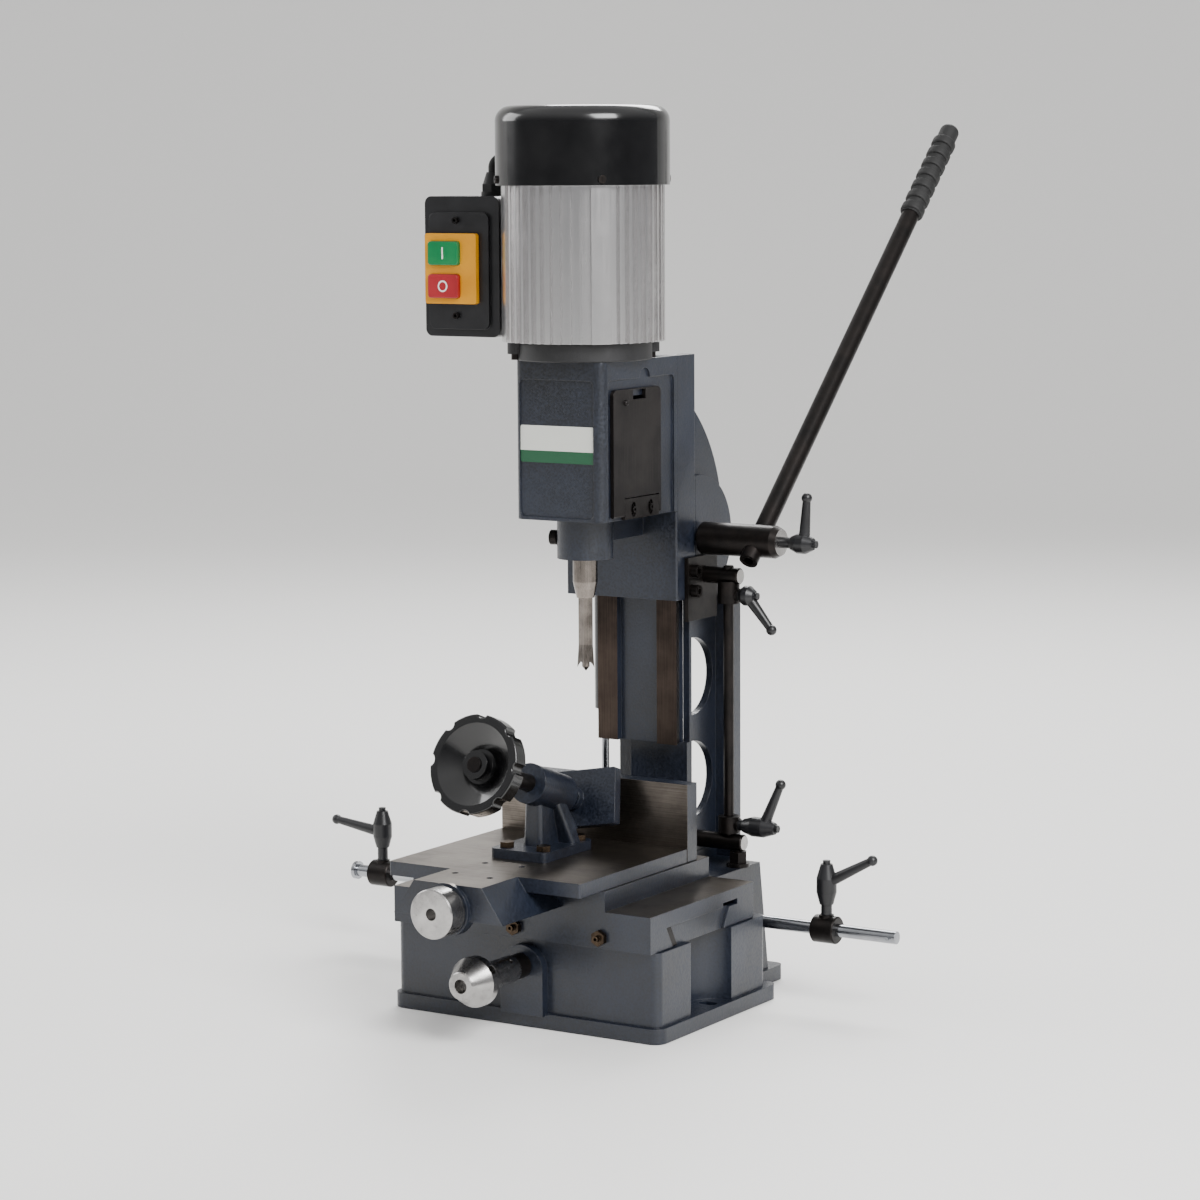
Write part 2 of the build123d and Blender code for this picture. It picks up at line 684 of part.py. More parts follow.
foot_under = FOOT_BAR_Z - STOP_BAR_D / 2
with BuildPart() as foot_nut:
    bar((FOOT_NUT_X, STOP_Y, TURRET_TOP), (0, 0, 1), 11, 3.5)
    with BuildSketch(Plane.XY.offset(TURRET_TOP + 3.5)):
        with Locations((FOOT_NUT_X, STOP_Y)):
            RegularPolygon(9, 6)
    extrude(amount=foot_under - TURRET_TOP - 4)
    bar((FOOT_NUT_X, STOP_Y, TURRET_TOP - 20), (0, 0, 1), FOOT_STUD_D / 2, FOOT_BAR_Z - TURRET_TOP + 20)
base_bolts = group(
    [
        put(hex_bolt(COLUMN_BOLT_D, FOOT_T + COLUMN_BOLT_IN), (x, y, TURRET_TOP + FOOT_T), (0, 0, 1))
        for x, y in COLUMN_BOLTS
    ]
    + [foot_nut.part]
)
save(base_bolts, "base_bolts")

# ================================================================ GAS STRUT
with BuildPart() as strut_rod:
    block(
        (STRUT_X - 6, STRUT_Y - 11, TURRET_TOP), (STRUT_X + 6, STRUT_Y + 11, TURRET_TOP + 4)
    )
    bar((STRUT_X, STRUT_Y, TURRET_TOP + 4), (0, 0, 1), 6, 16)
    bar((STRUT_X, STRUT_Y, TURRET_TOP + 20), (0, 0, 1), STRUT_ROD_D / 2, STRUT_IN - TURRET_TOP - 20)
    bar((STRUT_X, STRUT_Y, STRUT_IN), (0, 0, 1), STRUT_TUBE_D / 2 - 2 - AIR, 8)
save(strut_rod.part, "strut_rod")

strut_wall_y = STRUT_Y - STRUT_TUBE_D / 2
with BuildPart() as strut_tube:
    bar((STRUT_X, STRUT_Y, STRUT_TUBE_LOW), (0, 0, 1), STRUT_TUBE_D / 2, STRUT_TUBE_HIGH - STRUT_TUBE_LOW)
    # lug that bolts to the back of the sliding plate
    block(
        (STRUT_X - 8, PLATE_BACK, STRUT_TUBE_HIGH - 26),
        (STRUT_X + 8, strut_wall_y + 3, STRUT_TUBE_HIGH - 2),
    )
    drill((STRUT_X, STRUT_Y, STRUT_TUBE_LOW + 6), (0, 0, 1), STRUT_TUBE_D / 2 - 2, 150)
    drill((STRUT_X, STRUT_Y, STRUT_TUBE_LOW - 1), (0, 0, 1), STRUT_ROD_D / 2 + FIT, 20)
save(strut_tube.part, "strut_tube")

# ================================================================ HEAD
slot_right = WAY_RIGHT + SLIDE_GAP
slot_left = WAY_LEFT - SLIDE_GAP - HEAD_GIB_T
slot_front = WAY_Y - SLIDE_GAP
slot_back = way_back + SLIDE_GAP
lean = SLIDE_GAP * flank_in / WAY_T       # the flanks' drift across the sliding gap
port_low, port_high = DOOR_BOTTOM + 18, DOOR_TOP - PORT_INSET
port_front, port_back = DOOR_FRONT + PORT_INSET, DOOR_BACK - PORT_INSET
door_face = HEAD_RIGHT - RELIEF
pin_x = door_face + DOOR_GAP + DOOR_T / 2
rack_gap_y = RACK_Y - RACK_BACK
rack_mid = HUB_Z + RACK_SHIFT * pi * GEAR_MODULE


def left(x):
    """The same place on the head's left side."""
    return 2 * SPINDLE_X - x


def lug_places(radius):
    """Where the motor flange's two lugs are."""
    return [
        (SPINDLE_X + radius * cos(radians(a)), SPINDLE_Y + radius * sin(radians(a)))
        for a in (LUG_ANGLE, LUG_ANGLE + 180)
    ]


with BuildPart() as head_casting:
    block((HEAD_LEFT, HEAD_FRONT, HEAD_BOTTOM), (HEAD_RIGHT, PLATE_FRONT + 1, HEAD_TOP))
    fillet(head_casting.edges().filter_by(Axis.Z).group_by(Axis.Y)[0], HEAD_R)
    # the sliding plate behind the box
    with BuildSketch(Plane.XY.offset(PLATE_BOTTOM)):
        with Locations(((PLATE_LEFT + HEAD_RIGHT) / 2, (PLATE_FRONT + PLATE_BACK) / 2)):
            RectangleRounded(HEAD_RIGHT - PLATE_LEFT, PLATE_BACK - PLATE_FRONT, 2)
    extrude(amount=HEAD_TOP - PLATE_BOTTOM)
    # round boss for the chisel, and the web behind it
    bar((SPINDLE_X, SPINDLE_Y, BOSS_BOTTOM), (0, 0, 1), BOSS_D / 2, HEAD_BOTTOM - BOSS_BOTTOM)
    block(
        (SPINDLE_X - 11, SPINDLE_Y, BOSS_BOTTOM + 14), (SPINDLE_X + 11, PLATE_FRONT + 1, HEAD_BOTTOM)
    )
    # hollow inside, open under the motor
    block(
        (HEAD_LEFT + HEAD_WALL, HEAD_FRONT + HEAD_WALL, HEAD_BOTTOM + HEAD_WALL + 2),
        (HEAD_RIGHT - HEAD_WALL, PLATE_FRONT - HEAD_WALL, HEAD_TOP + 1), mode=Mode.SUBTRACT,
    )
    # shallow cast recesses: the front field and one on each side
    with BuildSketch(Plane.XZ.offset(-HEAD_FRONT - RELIEF)):
        with Locations((SPINDLE_X - 2, (HEAD_BOTTOM + 3 + HEAD_TOP - 17) / 2)):
            RectangleRounded(HEAD_W - 2 * HEAD_R + 2, HEAD_TOP - HEAD_BOTTOM - 20, 5)
    extrude(amount=RELIEF + 1, mode=Mode.SUBTRACT)
    for side in (HEAD_RIGHT - RELIEF, HEAD_LEFT - 1):
        with BuildSketch(Plane.YZ.offset(side)):
            with Locations(((DOOR_FRONT - 6 + PLATE_FRONT - 4) / 2, (HEAD_BOTTOM - 9 + DOOR_TOP + 9) / 2)):
                RectangleRounded(PLATE_FRONT + 2 - DOOR_FRONT, DOOR_TOP + 18 - HEAD_BOTTOM, 5)
            with Locations((SPINDLE_Y + 29, DOOR_TOP + 9)):
                Circle(9)
        extrude(amount=RELIEF + 1, mode=Mode.SUBTRACT)
    # ports behind the doors
    with BuildSketch(Plane.YZ.offset(HEAD_LEFT - 1)):
        with Locations(((port_front + port_back) / 2, (port_low + port_high) / 2)):
            RectangleRounded(port_back - port_front, port_high - port_low, 8)
    extrude(amount=HEAD_W + 2, mode=Mode.SUBTRACT)
    # seat for the chisel bush, and the auger's passage above it
    drill((SPINDLE_X, SPINDLE_Y, BOSS_BOTTOM - 1), (0, 0, 1), SHANK_D / 2, SHANK_L + 1)
    drill((SPINDLE_X, SPINDLE_Y, BOSS_BOTTOM), (0, 0, 1), CHISEL_BORE / 2 + 1, 60)
    # hole for the bush's set screw, on the boss's left
    drill((SPINDLE_X, SPINDLE_Y, SET_Z), (-1, SET_SLOPE, 0), SET_D / 2, BOSS_D)
    # dovetail slot for the ways, with room for the gib on the left
    with BuildSketch(Plane.XY.offset(PLATE_BOTTOM - 1)):
        with BuildLine():
            Polyline(
                (slot_left - lean, slot_front), (slot_right + lean, slot_front),
                (slot_right - flank_in - lean, slot_back), (slot_right - flank_in - lean, PLATE_BACK + 1),
                (slot_left + flank_in + lean, PLATE_BACK + 1), (slot_left + flank_in + lean, slot_back),
                close=True,
            )
        make_face()
    extrude(amount=HEAD_TOP - PLATE_BOTTOM + 2, mode=Mode.SUBTRACT)
    # channel for the rack and the pinion in front of the ways
    block(
        (COLUMN_X - GEAR_W / 2, rack_gap_y, rack_mid - RACK_HALF),
        (COLUMN_X + GEAR_W / 2, slot_front + 1, rack_mid + RACK_HALF), mode=Mode.SUBTRACT,
    )
    block(
        (COLUMN_X - GEAR_W / 2 - 1, RACK_Y - GEAR_MODULE - 1, PLATE_BOTTOM - 1),
        (COLUMN_X + GEAR_W / 2 + 1, slot_front + 1, HUB_Z + HEAD_STROKE + chamber_r),
        mode=Mode.SUBTRACT,
    )
    # holes for the stop bracket's screws
    for z in BRACKET_SCREWS:
        drill((HEAD_RIGHT + 1, BRACKET_SCREW_Y, z), (-1, 0, 0), BRACKET_SCREW_D / 2, BRACKET_SCREW_IN + 1)
    # hinge leaf screws, each side
    for x, out in ((HEAD_RIGHT - RELIEF, 1), (HEAD_LEFT + RELIEF, -1)):
        for y in LEAF_SCREWS:
            drill((x + out, y, LEAF_SCREW_Z), (-out, 0, 0), LEAF_SCREW_D / 2, 7)
save(head_casting.part, "head_casting")

with BuildPart() as head_gib:
    with BuildSketch(Plane.XY.offset(PLATE_BOTTOM + 2)):
        with BuildLine():
            Polyline(
                (slot_left, WAY_Y), (WAY_LEFT - SLIDE_GAP, WAY_Y),
                (WAY_LEFT - SLIDE_GAP + flank_in, way_back), (slot_left + flank_in, way_back),
                close=True,
            )
        make_face()
    extrude(amount=HEAD_TOP - PLATE_BOTTOM - 4)
save(head_gib.part, "head_gib")

with BuildPart() as head_rack:
    with BuildSketch(Plane.XY.offset(-GEAR_W / 2)):
        with BuildLine():
            Polyline(*rack_outline(GEAR_MODULE, RACK_HALF, RACK_BACK), close=True)
        make_face()
    extrude(amount=GEAR_W)
# teeth turned to face the column, the length upright
save(
    put(head_rack.part, (COLUMN_X, RACK_Y, rack_mid), (1, 0, 0), across=(0, 0, 1)), "head_rack"
)

with BuildPart() as chisel_bush:
    cone_top = BUSH_LOW + BUSH_CONE
    bar((SPINDLE_X, SPINDLE_Y, cone_top), (0, 0, 1), BUSH_D / 2, BOSS_BOTTOM - cone_top)
    with Locations((SPINDLE_X, SPINDLE_Y, BUSH_LOW)):
        Cone(
            BUSH_MOUTH_D / 2 + 1.2, BUSH_D / 2, BUSH_CONE,
            align=(Align.CENTER, Align.CENTER, Align.MIN),
        )
    bar((SPINDLE_X, SPINDLE_Y, BOSS_BOTTOM), (0, 0, 1), SHANK_D / 2, SHANK_L)
    drill((SPINDLE_X, SPINDLE_Y, BUSH_LOW - 1), (0, 0, 1), BUSH_MOUTH_D / 2, CHISEL_SHOULDER - BUSH_LOW + 1)
    drill((SPINDLE_X, SPINDLE_Y, CHISEL_SHOULDER), (0, 0, 1), CHISEL_SHANK_D / 2, 80)
    # oval chip window, slanting through the cone's side
    with Locations(Plane(
        origin=(SPINDLE_X + 4, SPINDLE_Y - 2.5, BUSH_LOW + 6), x_dir=(0.55, 0.83, 0),
        z_dir=(0.75, -0.5, 0.45),
    ).location):
        with BuildSketch(mode=Mode.PRIVATE) as window:
            Ellipse(4, 6)
        extrude(window.sketch, amount=16, mode=Mode.SUBTRACT)
save(chisel_bush.part, "chisel_bush")

with BuildPart() as hollow_chisel:
    with BuildSketch(Plane.XY.offset(CHISEL_TIP + CHISEL_CUT_H)):
        with Locations(Location((SPINDLE_X, SPINDLE_Y), CHISEL_TURN)):
            Rectangle(CHISEL_W, CHISEL_W)
    extrude(amount=CHISEL_SHOULDER - CHISEL_TIP - CHISEL_CUT_H)
    # cutting end, a little wider towards its four points
    with BuildSketch(Plane.XY.offset(CHISEL_TIP)):
        with Locations(Location((SPINDLE_X, SPINDLE_Y), CHISEL_TURN)):
            Rectangle(CHISEL_FLARE, CHISEL_FLARE)
    with BuildSketch(Plane.XY.offset(CHISEL_TIP + CHISEL_CUT_H)):
        with Locations(Location((SPINDLE_X, SPINDLE_Y), CHISEL_TURN)):
            Rectangle(CHISEL_W, CHISEL_W)
    loft()
    bar((SPINDLE_X, SPINDLE_Y, CHISEL_SHOULDER), (0, 0, 1), CHISEL_SHANK_D / 2, CHISEL_END - CHISEL_SHOULDER)
    drill((SPINDLE_X, SPINDLE_Y, CHISEL_TIP - 1), (0, 0, 1), CHISEL_BORE / 2, 140)
    # hollow ground between the points
    with Locations((SPINDLE_X, SPINDLE_Y, CHISEL_TIP)):
        Cone(
            CHISEL_FLARE * 0.68, CHISEL_BORE / 2, CHISEL_FLARE * 0.75,
            align=(Align.CENTER, Align.CENTER, Align.MIN), mode=Mode.SUBTRACT,
        )
save(hollow_chisel.part, "hollow_chisel")

# ================================================================ DOORS
with BuildPart() as right_door:
    with BuildSketch(Plane.YZ.offset(door_face + DOOR_GAP)):
        with Locations(((DOOR_FRONT + DOOR_BACK) / 2, (PIN_Z + DOOR_TOP) / 2)):
            Rectangle(DOOR_BACK - DOOR_FRONT, DOOR_TOP - PIN_Z)
    extrude(amount=DOOR_T)
    fillet(right_door.edges().filter_by(Axis.X).group_by(Axis.Z)[-1], DOOR_R)
    # rounded lower edge about the pin
    bar((pin_x, DOOR_FRONT, PIN_Z), (0, 1, 0), DOOR_T / 2, DOOR_BACK - DOOR_FRONT)
    # cut-out for the hinge leaf, and the latch notch at the top
    block(
        (HEAD_RIGHT - 5, LEAF_FRONT - LEAF_GAP, DOOR_BOTTOM - 5),
        (HEAD_RIGHT + 5, LEAF_BACK + LEAF_GAP, LEAF_TOP + 1), mode=Mode.SUBTRACT,
    )
    block(
        (HEAD_RIGHT - 5, -36, DOOR_TOP - 10), (HEAD_RIGHT + 5, -14, DOOR_TOP - 1), mode=Mode.SUBTRACT
    )
    with Locations((door_face + DOOR_GAP + DOOR_T, -49, 567.5)):
        Sphere(3)
    drill((pin_x, DOOR_FRONT + 4, PIN_Z), (0, 1, 0), PIN_D / 2 + FIT, DOOR_BACK - DOOR_FRONT - 5)
save(right_door.part, "right_door")
save(mirror(right_door.part, Plane.YZ.offset(SPINDLE_X)), "left_door")

with BuildPart() as leaf:
    block((door_face, LEAF_FRONT, LEAF_BOTTOM), (pin_x + DOOR_T / 2, LEAF_BACK, LEAF_TOP))
    bar((pin_x, DOOR_FRONT + 4.5, PIN_Z), (0, 1, 0), PIN_D / 2, DOOR_BACK - DOOR_FRONT - 6)
    with BuildSketch(Plane.YZ.offset(door_face + 2)):
        with Locations(*[(y, LEAF_SCREW_Z) for y in LEAF_SCREWS]):
            SlotOverall(14, 7.4, rotation=90)
    extrude(amount=5, mode=Mode.SUBTRACT)
    with BuildSketch(Plane.YZ.offset(door_face - 1)):
        with Locations(*[(y, LEAF_SCREW_Z) for y in LEAF_SCREWS]):
            SlotOverall(10, LEAF_SCREW_D + 0.6, rotation=90)
    extrude(amount=5, mode=Mode.SUBTRACT)
save(group([leaf.part, mirror(leaf.part, Plane.YZ.offset(SPINDLE_X))]), "hinge_leaves")

# ================================================================ MOTOR
spindle = (SPINDLE_X, SPINDLE_Y)
fin_tip_r = HOUSING_D / 2
barrel_r = fin_tip_r - FIN_H
cover_in_r = COVER_D / 2 - COVER_WALL
fin_angles = [
    quarter * 90 + (place - (FINS_A_QUARTER - 1) / 2) * FIN_STEP
    for quarter in range(4) for place in range(FINS_A_QUARTER)
]


def about(radius, angle, z):
    """A point round the spindle's axis."""
    turn = radians(angle)
    return (SPINDLE_X + radius * cos(turn), SPINDLE_Y + radius * sin(turn), z)


with BuildPart() as motor_flange:
    bar((*spindle, HEAD_TOP), (0, 0, 1), MOTOR_FLANGE_D / 2, MOTOR_FLANGE_T)
    chamfer(motor_flange.edges(), 1)
    with BuildSketch(Plane.XY.offset(LUG_LOW)):
        with Locations(Location(spindle, LUG_ANGLE)):
            SlotOverall(2 * LUG_END, 2 * (LUG_END - LUG_R))
    extrude(amount=LUG_T)
    drill((*spindle, HEAD_TOP - 1), (0, 0, 1), SHAFT_D / 2 + FIT, 40)
    drill((*spindle, HEAD_TOP - 1), (0, 0, 1), 30, 9)
    for x, y in lug_places(LUG_R):
        drill((x, y, HEAD_TOP), (0, 0, 1), LUG_BOLT_D / 2 + WIN, MOTOR_FLANGE_T + 1)
        drill((x, y, HEAD_TOP - 1), (0, 0, 1), LUG_BOLT_D * 0.9, LUG_LOW - HEAD_TOP + 1)
save(motor_flange.part, "motor_flange")

with BuildPart() as motor_housing:
    with BuildSketch(Plane.XY.offset(HOUSING_LOW)):
        with Locations(spindle):
            Circle(barrel_r)
            with PolarLocations((fin_tip_r + barrel_r - 3) / 2, 4, start_angle=45):
                Rectangle(FIN_H + 3, BAND_W)
        with Locations(*[
            Location(about((fin_tip_r + barrel_r - 3) / 2, angle, 0)[:2], angle)
            for angle in fin_angles
        ]):
            Rectangle(FIN_H + 3, FIN_T)
        with Locations(spindle):
            Circle(fin_tip_r, mode=Mode.INTERSECT)
    extrude(amount=HOUSING_H)
    bar((*spindle, HOUSING_HIGH), (0, 0, 1), cover_in_r, END_PLATE_T)
    drill((*spindle, HOUSING_LOW - 1), (0, 0, 1), barrel_r - HOUSING_WALL, HOUSING_H + 1 - 6)
    drill((*spindle, HOUSING_LOW), (0, 0, 1), SHAFT_D / 2 + FIT, HOUSING_H + 30)
    # feet for the flange's bolts
    for angle in (LUG_ANGLE, LUG_ANGLE + 180):
        bar(about(LUG_R, angle, HOUSING_LOW), (0, 0, 1), 6, 20)
        drill(about(LUG_R, angle, HOUSING_LOW - 1), (0, 0, 1), LUG_BOLT_D / 2, 15)
    for quarter in range(4):
        angle = 45 + 90 * quarter
        inward = (-cos(radians(angle)), -sin(radians(angle)), 0)
        drill(about(cover_in_r + 1, angle, COVER_SCREW_Z), inward, 2, 11)
save(motor_housing.part, "motor_housing")

with BuildPart() as stator_core:
    bar((*spindle, STATOR_LOW), (0, 0, 1), barrel_r - HOUSING_WALL, STATOR_L)
    for z in (STATOR_LOW - 14, STATOR_LOW + STATOR_L):
        bar((*spindle, z), (0, 0, 1), barrel_r - HOUSING_WALL - 10, 14)
    drill((*spindle, STATOR_LOW - 20), (0, 0, 1), STATOR_BORE / 2, STATOR_L + 40)
save(stator_core.part, "stator_core")

with BuildPart() as fan_cover:
    bar((*spindle, HOUSING_HIGH), (0, 0, 1), COVER_D / 2, COVER_H)
    fillet(fan_cover.faces().sort_by(Axis.Z)[-1].edges(), COVER_R)
    bar((*spindle, HOUSING_HIGH - 1), (0, 0, 1), cover_in_r, COVER_H + 1 - COVER_R, Mode.SUBTRACT)
    bar(
        (*spindle, HOUSING_HIGH), (0, 0, 1), cover_in_r - COVER_R, COVER_H - COVER_WALL, Mode.SUBTRACT
    )
    for quarter in range(4):
        angle = 45 + 90 * quarter
        outward = (cos(radians(angle)), sin(radians(angle)), 0)
        drill(about(cover_in_r - 2, angle, COVER_SCREW_Z), outward, 2 + WIN, 8)
        drill(about(COVER_D / 2 - 0.2, angle, COVER_SCREW_Z), outward, 4, 2)
    # socket for the cable
    drill((CABLE_END[0] - 16, *CABLE_END[1:]), (1, 0, 0), CABLE_D / 2, 26)
    # air slots in the top
    with BuildSketch(Plane.XY.offset(HOUSING_HIGH + COVER_H - COVER_WALL - 1)):
        with Locations(spindle):
            with PolarLocations(40, 12):
                SlotOverall(26, 4)
    extrude(amount=COVER_WALL + 2, mode=Mode.SUBTRACT)
save(fan_cover.part, "fan_cover")

cover_screws = []
for quarter in range(4):
    angle = 45 + 90 * quarter
    outward = (cos(radians(angle)), sin(radians(angle)), 0)
    with BuildPart() as pan_screw:
        bar((0, 0, 0), (0, 0, 1), 3.6, 2.4)
        bar((0, 0, 0), (0, 0, -1), 2, COVER_WALL + 8)
        for half in ((2.2, 0.4), (0.4, 2.2)):
            block((-half[0], -half[1], 1.2), (half[0], half[1], 3), mode=Mode.SUBTRACT)
    cover_screws.append(put(pan_screw.part, about(COVER_D / 2 - 0.2, angle, COVER_SCREW_Z), outward))
save(group(cover_screws), "cover_screws")

flange_bolts = [
    put(socket_screw(LUG_BOLT_D, LUG_T + HOUSING_LOW - LUG_LOW - LUG_T + 10), (x, y, LUG_LOW), (0, 0, -1))
    for x, y in lug_places(LUG_R)
]
save(group(flange_bolts), "flange_bolts")

with BuildPart() as rotor_shaft:
    bar((*spindle, CHUCK_TOP - 20), (0, 0, 1), SHAFT_D / 2, SHAFT_TOP - CHUCK_TOP + 20)
    bar((*spindle, STATOR_LOW), (0, 0, 1), STATOR_BORE / 2 - 0.7, STATOR_L)
save(rotor_shaft.part, "rotor_shaft")

with BuildPart() as cooling_fan:
    bar((*spindle, FAN_LOW), (0, 0, 1), 16, FAN_H)
    bar((*spindle, FAN_LOW), (0, 0, 1), FAN_D / 2, 3)
    with BuildSketch(Plane.XY.offset(FAN_LOW)):
        with Locations(spindle):
            with PolarLocations(FAN_D / 4 + 6, FAN_BLADES):
                Rectangle(FAN_D / 2 - 14, 3)
    extrude(amount=FAN_H)
    drill((*spindle, FAN_LOW - 1), (0, 0, 1), SHAFT_D / 2, FAN_H + 2)
save(cooling_fan.part, "cooling_fan")

with BuildPart() as drill_chuck:
    bar((*spindle, CHUCK_LOW + 18), (0, 0, 1), CHUCK_D / 2, CHUCK_TOP - CHUCK_LOW - 18)
    with Locations((*spindle, CHUCK_LOW)):
        Cone(12, CHUCK_D / 2 - 2, 18, align=(Align.CENTER, Align.CENTER, Align.MIN))
    drill((*spindle, CHUCK_LOW - 1), (0, 0, 1), AUGER_D / 2, 45)
    drill((*spindle, CHUCK_TOP - 20), (0, 0, 1), SHAFT_D / 2, 25)
    # key holes
    for angle in (20, 140, 260):
        inward = (-cos(radians(angle)), -sin(radians(angle)), 0)
        drill(about(CHUCK_D / 2 + 1, angle, CHUCK_LOW + 30), inward, 3, 7)
save(drill_chuck.part, "drill_chuck")

with BuildPart() as auger_bit:
    bar((*spindle, AUGER_TIP + 4), (0, 0, 1), AUGER_D / 2, CHUCK_LOW + 44 - AUGER_TIP - 4)
    with Locations((*spindle, AUGER_TIP)):
        Cone(0.4, AUGER_D / 2, 4, align=(Align.CENTER, Align.CENTER, Align.MIN))
save(auger_bit.part, "auger_bit")

# ================================================================ SWITCH
box_mid_x = (BOX_LEFT + BOX_RIGHT) / 2
box_mid_z = (BOX_LOW + BOX_HIGH) / 2
front_field = BOX_FRONT - BEZEL_T
yellow_front = front_field - YELLOW_T
buttons = {"start_button": START_Z, "stop_button": STOP_Z}
with BuildPart() as switch_box:
    with BuildSketch(Plane.XZ.offset(-BOX_BACK)):
        with Locations((box_mid_x, box_mid_z)):
            RectangleRounded(BOX_RIGHT - BOX_LEFT, BOX_HIGH - BOX_LOW, BOX_R)
    extrude(amount=BOX_BACK - BOX_FRONT)
    with BuildSketch(Plane.XZ.offset(-BOX_FRONT)):
        with Locations(((BEZEL[0] + BEZEL[1]) / 2, (BEZEL[2] + BEZEL[3]) / 2)):
            RectangleRounded(BEZEL[1] - BEZEL[0], BEZEL[3] - BEZEL[2], BOX_R)
    extrude(amount=BEZEL_T)
    # arm to the motor's side
    block(
        (BOX_RIGHT - 4, BOX_FRONT + 8, BOX_LOW + 20),
        (SPINDLE_X - barrel_r + 1, BOX_BACK - 8, BOX_HIGH - 20),
    )
    bar((*spindle, HOUSING_LOW - 1), (0, 0, 1), fin_tip_r, HOUSING_H + 2, Mode.SUBTRACT)
    block(
        (BOX_LEFT + BOX_WALL, BOX_FRONT + BOX_WALL, BOX_LOW + BOX_WALL),
        (BOX_RIGHT - BOX_WALL, BOX_BACK - BOX_WALL, BOX_HIGH - BOX_WALL), mode=Mode.SUBTRACT,
    )
    for z in buttons.values():
        block(
            (BUTTON_X - BUTTON_W / 2 - 1, front_field - 1, z - BUTTON_H / 2 - 1),
            (BUTTON_X + BUTTON_W / 2 + 1, BOX_FRONT + BOX_WALL + 1, z + BUTTON_H / 2 + 1),
            mode=Mode.SUBTRACT,
        )
    for z in BOX_SCREWS:
        drill((BOX_SCREW_X, front_field - 1, z), (0, 1, 0), 2, 8)
    drill((GLAND_X, GLAND_Y, BOX_HIGH - BOX_WALL - 1), (0, 0, 1), 6, BOX_WALL + 2)
save(switch_box.part, "switch_box")

with BuildPart() as switch_plate:
    with BuildSketch(Plane.XZ.offset(-front_field)):
        with Locations(((YELLOW[0] + YELLOW[1]) / 2, (YELLOW[2] + YELLOW[3]) / 2)):
            RectangleRounded(YELLOW[1] - YELLOW[0], YELLOW[3] - YELLOW[2], 2.5)
        with Locations(*[(BUTTON_X, z) for z in buttons.values()]):
            RectangleRounded(
                BUTTON_W + 2 * BUTTON_GAP, BUTTON_H + 2 * BUTTON_GAP, BUTTON_R, mode=Mode.SUBTRACT
            )
    extrude(amount=YELLOW_T)
save(switch_plate.part, "switch_plate")

for name, z in buttons.items():
    with BuildPart() as button:
        with BuildSketch(Plane.XZ.offset(-yellow_front + BUTTON_OUT)):
            with Locations((BUTTON_X, z)):
                RectangleRounded(BUTTON_W, BUTTON_H, BUTTON_R)
        extrude(amount=-BUTTON_L)
        fillet(button.faces().sort_by(Axis.Y)[0].edges(), 1)
    save(button.part, name)

with BuildPart() as cable_gland:
    bar((GLAND_X, GLAND_Y, BOX_HIGH - BOX_WALL - 3), (0, 0, 1), 6, BOX_WALL + 3)
    bar((GLAND_X, GLAND_Y, BOX_HIGH), (0, 0, 1), 10, 4)
    with BuildSketch(Plane.XY.offset(BOX_HIGH + 4)):
        with Locations((GLAND_X, GLAND_Y)):
            RegularPolygon(10, 6)
    extrude(amount=7)
    with Locations((GLAND_X, GLAND_Y, BOX_HIGH + 11)):
        Cone(8.5, 5, GLAND_H - 11, align=(Align.CENTER, Align.CENTER, Align.MIN))
    drill((GLAND_X, GLAND_Y, BOX_HIGH - 10), (0, 0, 1), CABLE_D / 2, 60)
save(cable_gland.part, "cable_gland")

cable_bend = (CABLE_END[0] - 16, CABLE_END[1], CABLE_END[2])
with BuildPart() as motor_cable:
    with BuildLine():
        FilletPolyline(
            (GLAND_X, GLAND_Y, BOX_HIGH - 8), (GLAND_X, GLAND_Y, CABLE_RISE),
            cable_bend, CABLE_END, radius=CABLE_R,
        )
    with BuildSketch(Plane((GLAND_X, GLAND_Y, BOX_HIGH - 8))):
        Circle(CABLE_D / 2)
    sweep()
save(motor_cable.part, "motor_cable")

# ================================================================ LEVER
lean_y, lean_z = sin(radians(BAR_LEAN)), cos(radians(BAR_LEAN))
bar_way = (0, lean_y, lean_z)


def on_bar(distance):
    """A point on the lever bar's axis, from the hub's axis."""
    return (BAR_X, HUB_Y + distance * lean_y, HUB_Z + distance * lean_z)


def clamp_lever(stem, body, arm_start, arm_end, stud):
    """A clamping lever about +Z, seated at the origin, its arm towards +X."""
    with BuildPart() as lever:
        bar((0, 0, 0), (0, 0, -1), LEVER_STUD_R, stud)
        bar((0, 0, 0), (0, 0, 1), 5.2, stem)
        with Locations((0, 0, stem)):
            Cone(6.5, LEVER_BODY_R, body * 0.3, align=(Align.CENTER, Align.CENTER, Align.MIN))
        bar((0, 0, stem + body * 0.3), (0, 0, 1), LEVER_BODY_R, body * 0.35)
        with Locations((0, 0, stem + body * 0.65)):
            Cone(LEVER_BODY_R, 5.6, body * 0.35, align=(Align.CENTER, Align.CENTER, Align.MIN))
        bar((0, 0, stem + body), (0, 0, 1), 3.6, 3.5)
        rise = arm_end[1] - arm_start
        reach = arm_end[0]
        length = (reach ** 2 + rise ** 2) ** 0.5
        with Locations(Plane(origin=(0, 0, arm_start), z_dir=(reach, 0, rise)).location):
            Cone(5.6, 3.7, length, align=(Align.CENTER, Align.CENTER, Align.MIN))
        with Locations((reach, 0, arm_end[1])):
            Sphere(5)
    return lever.part


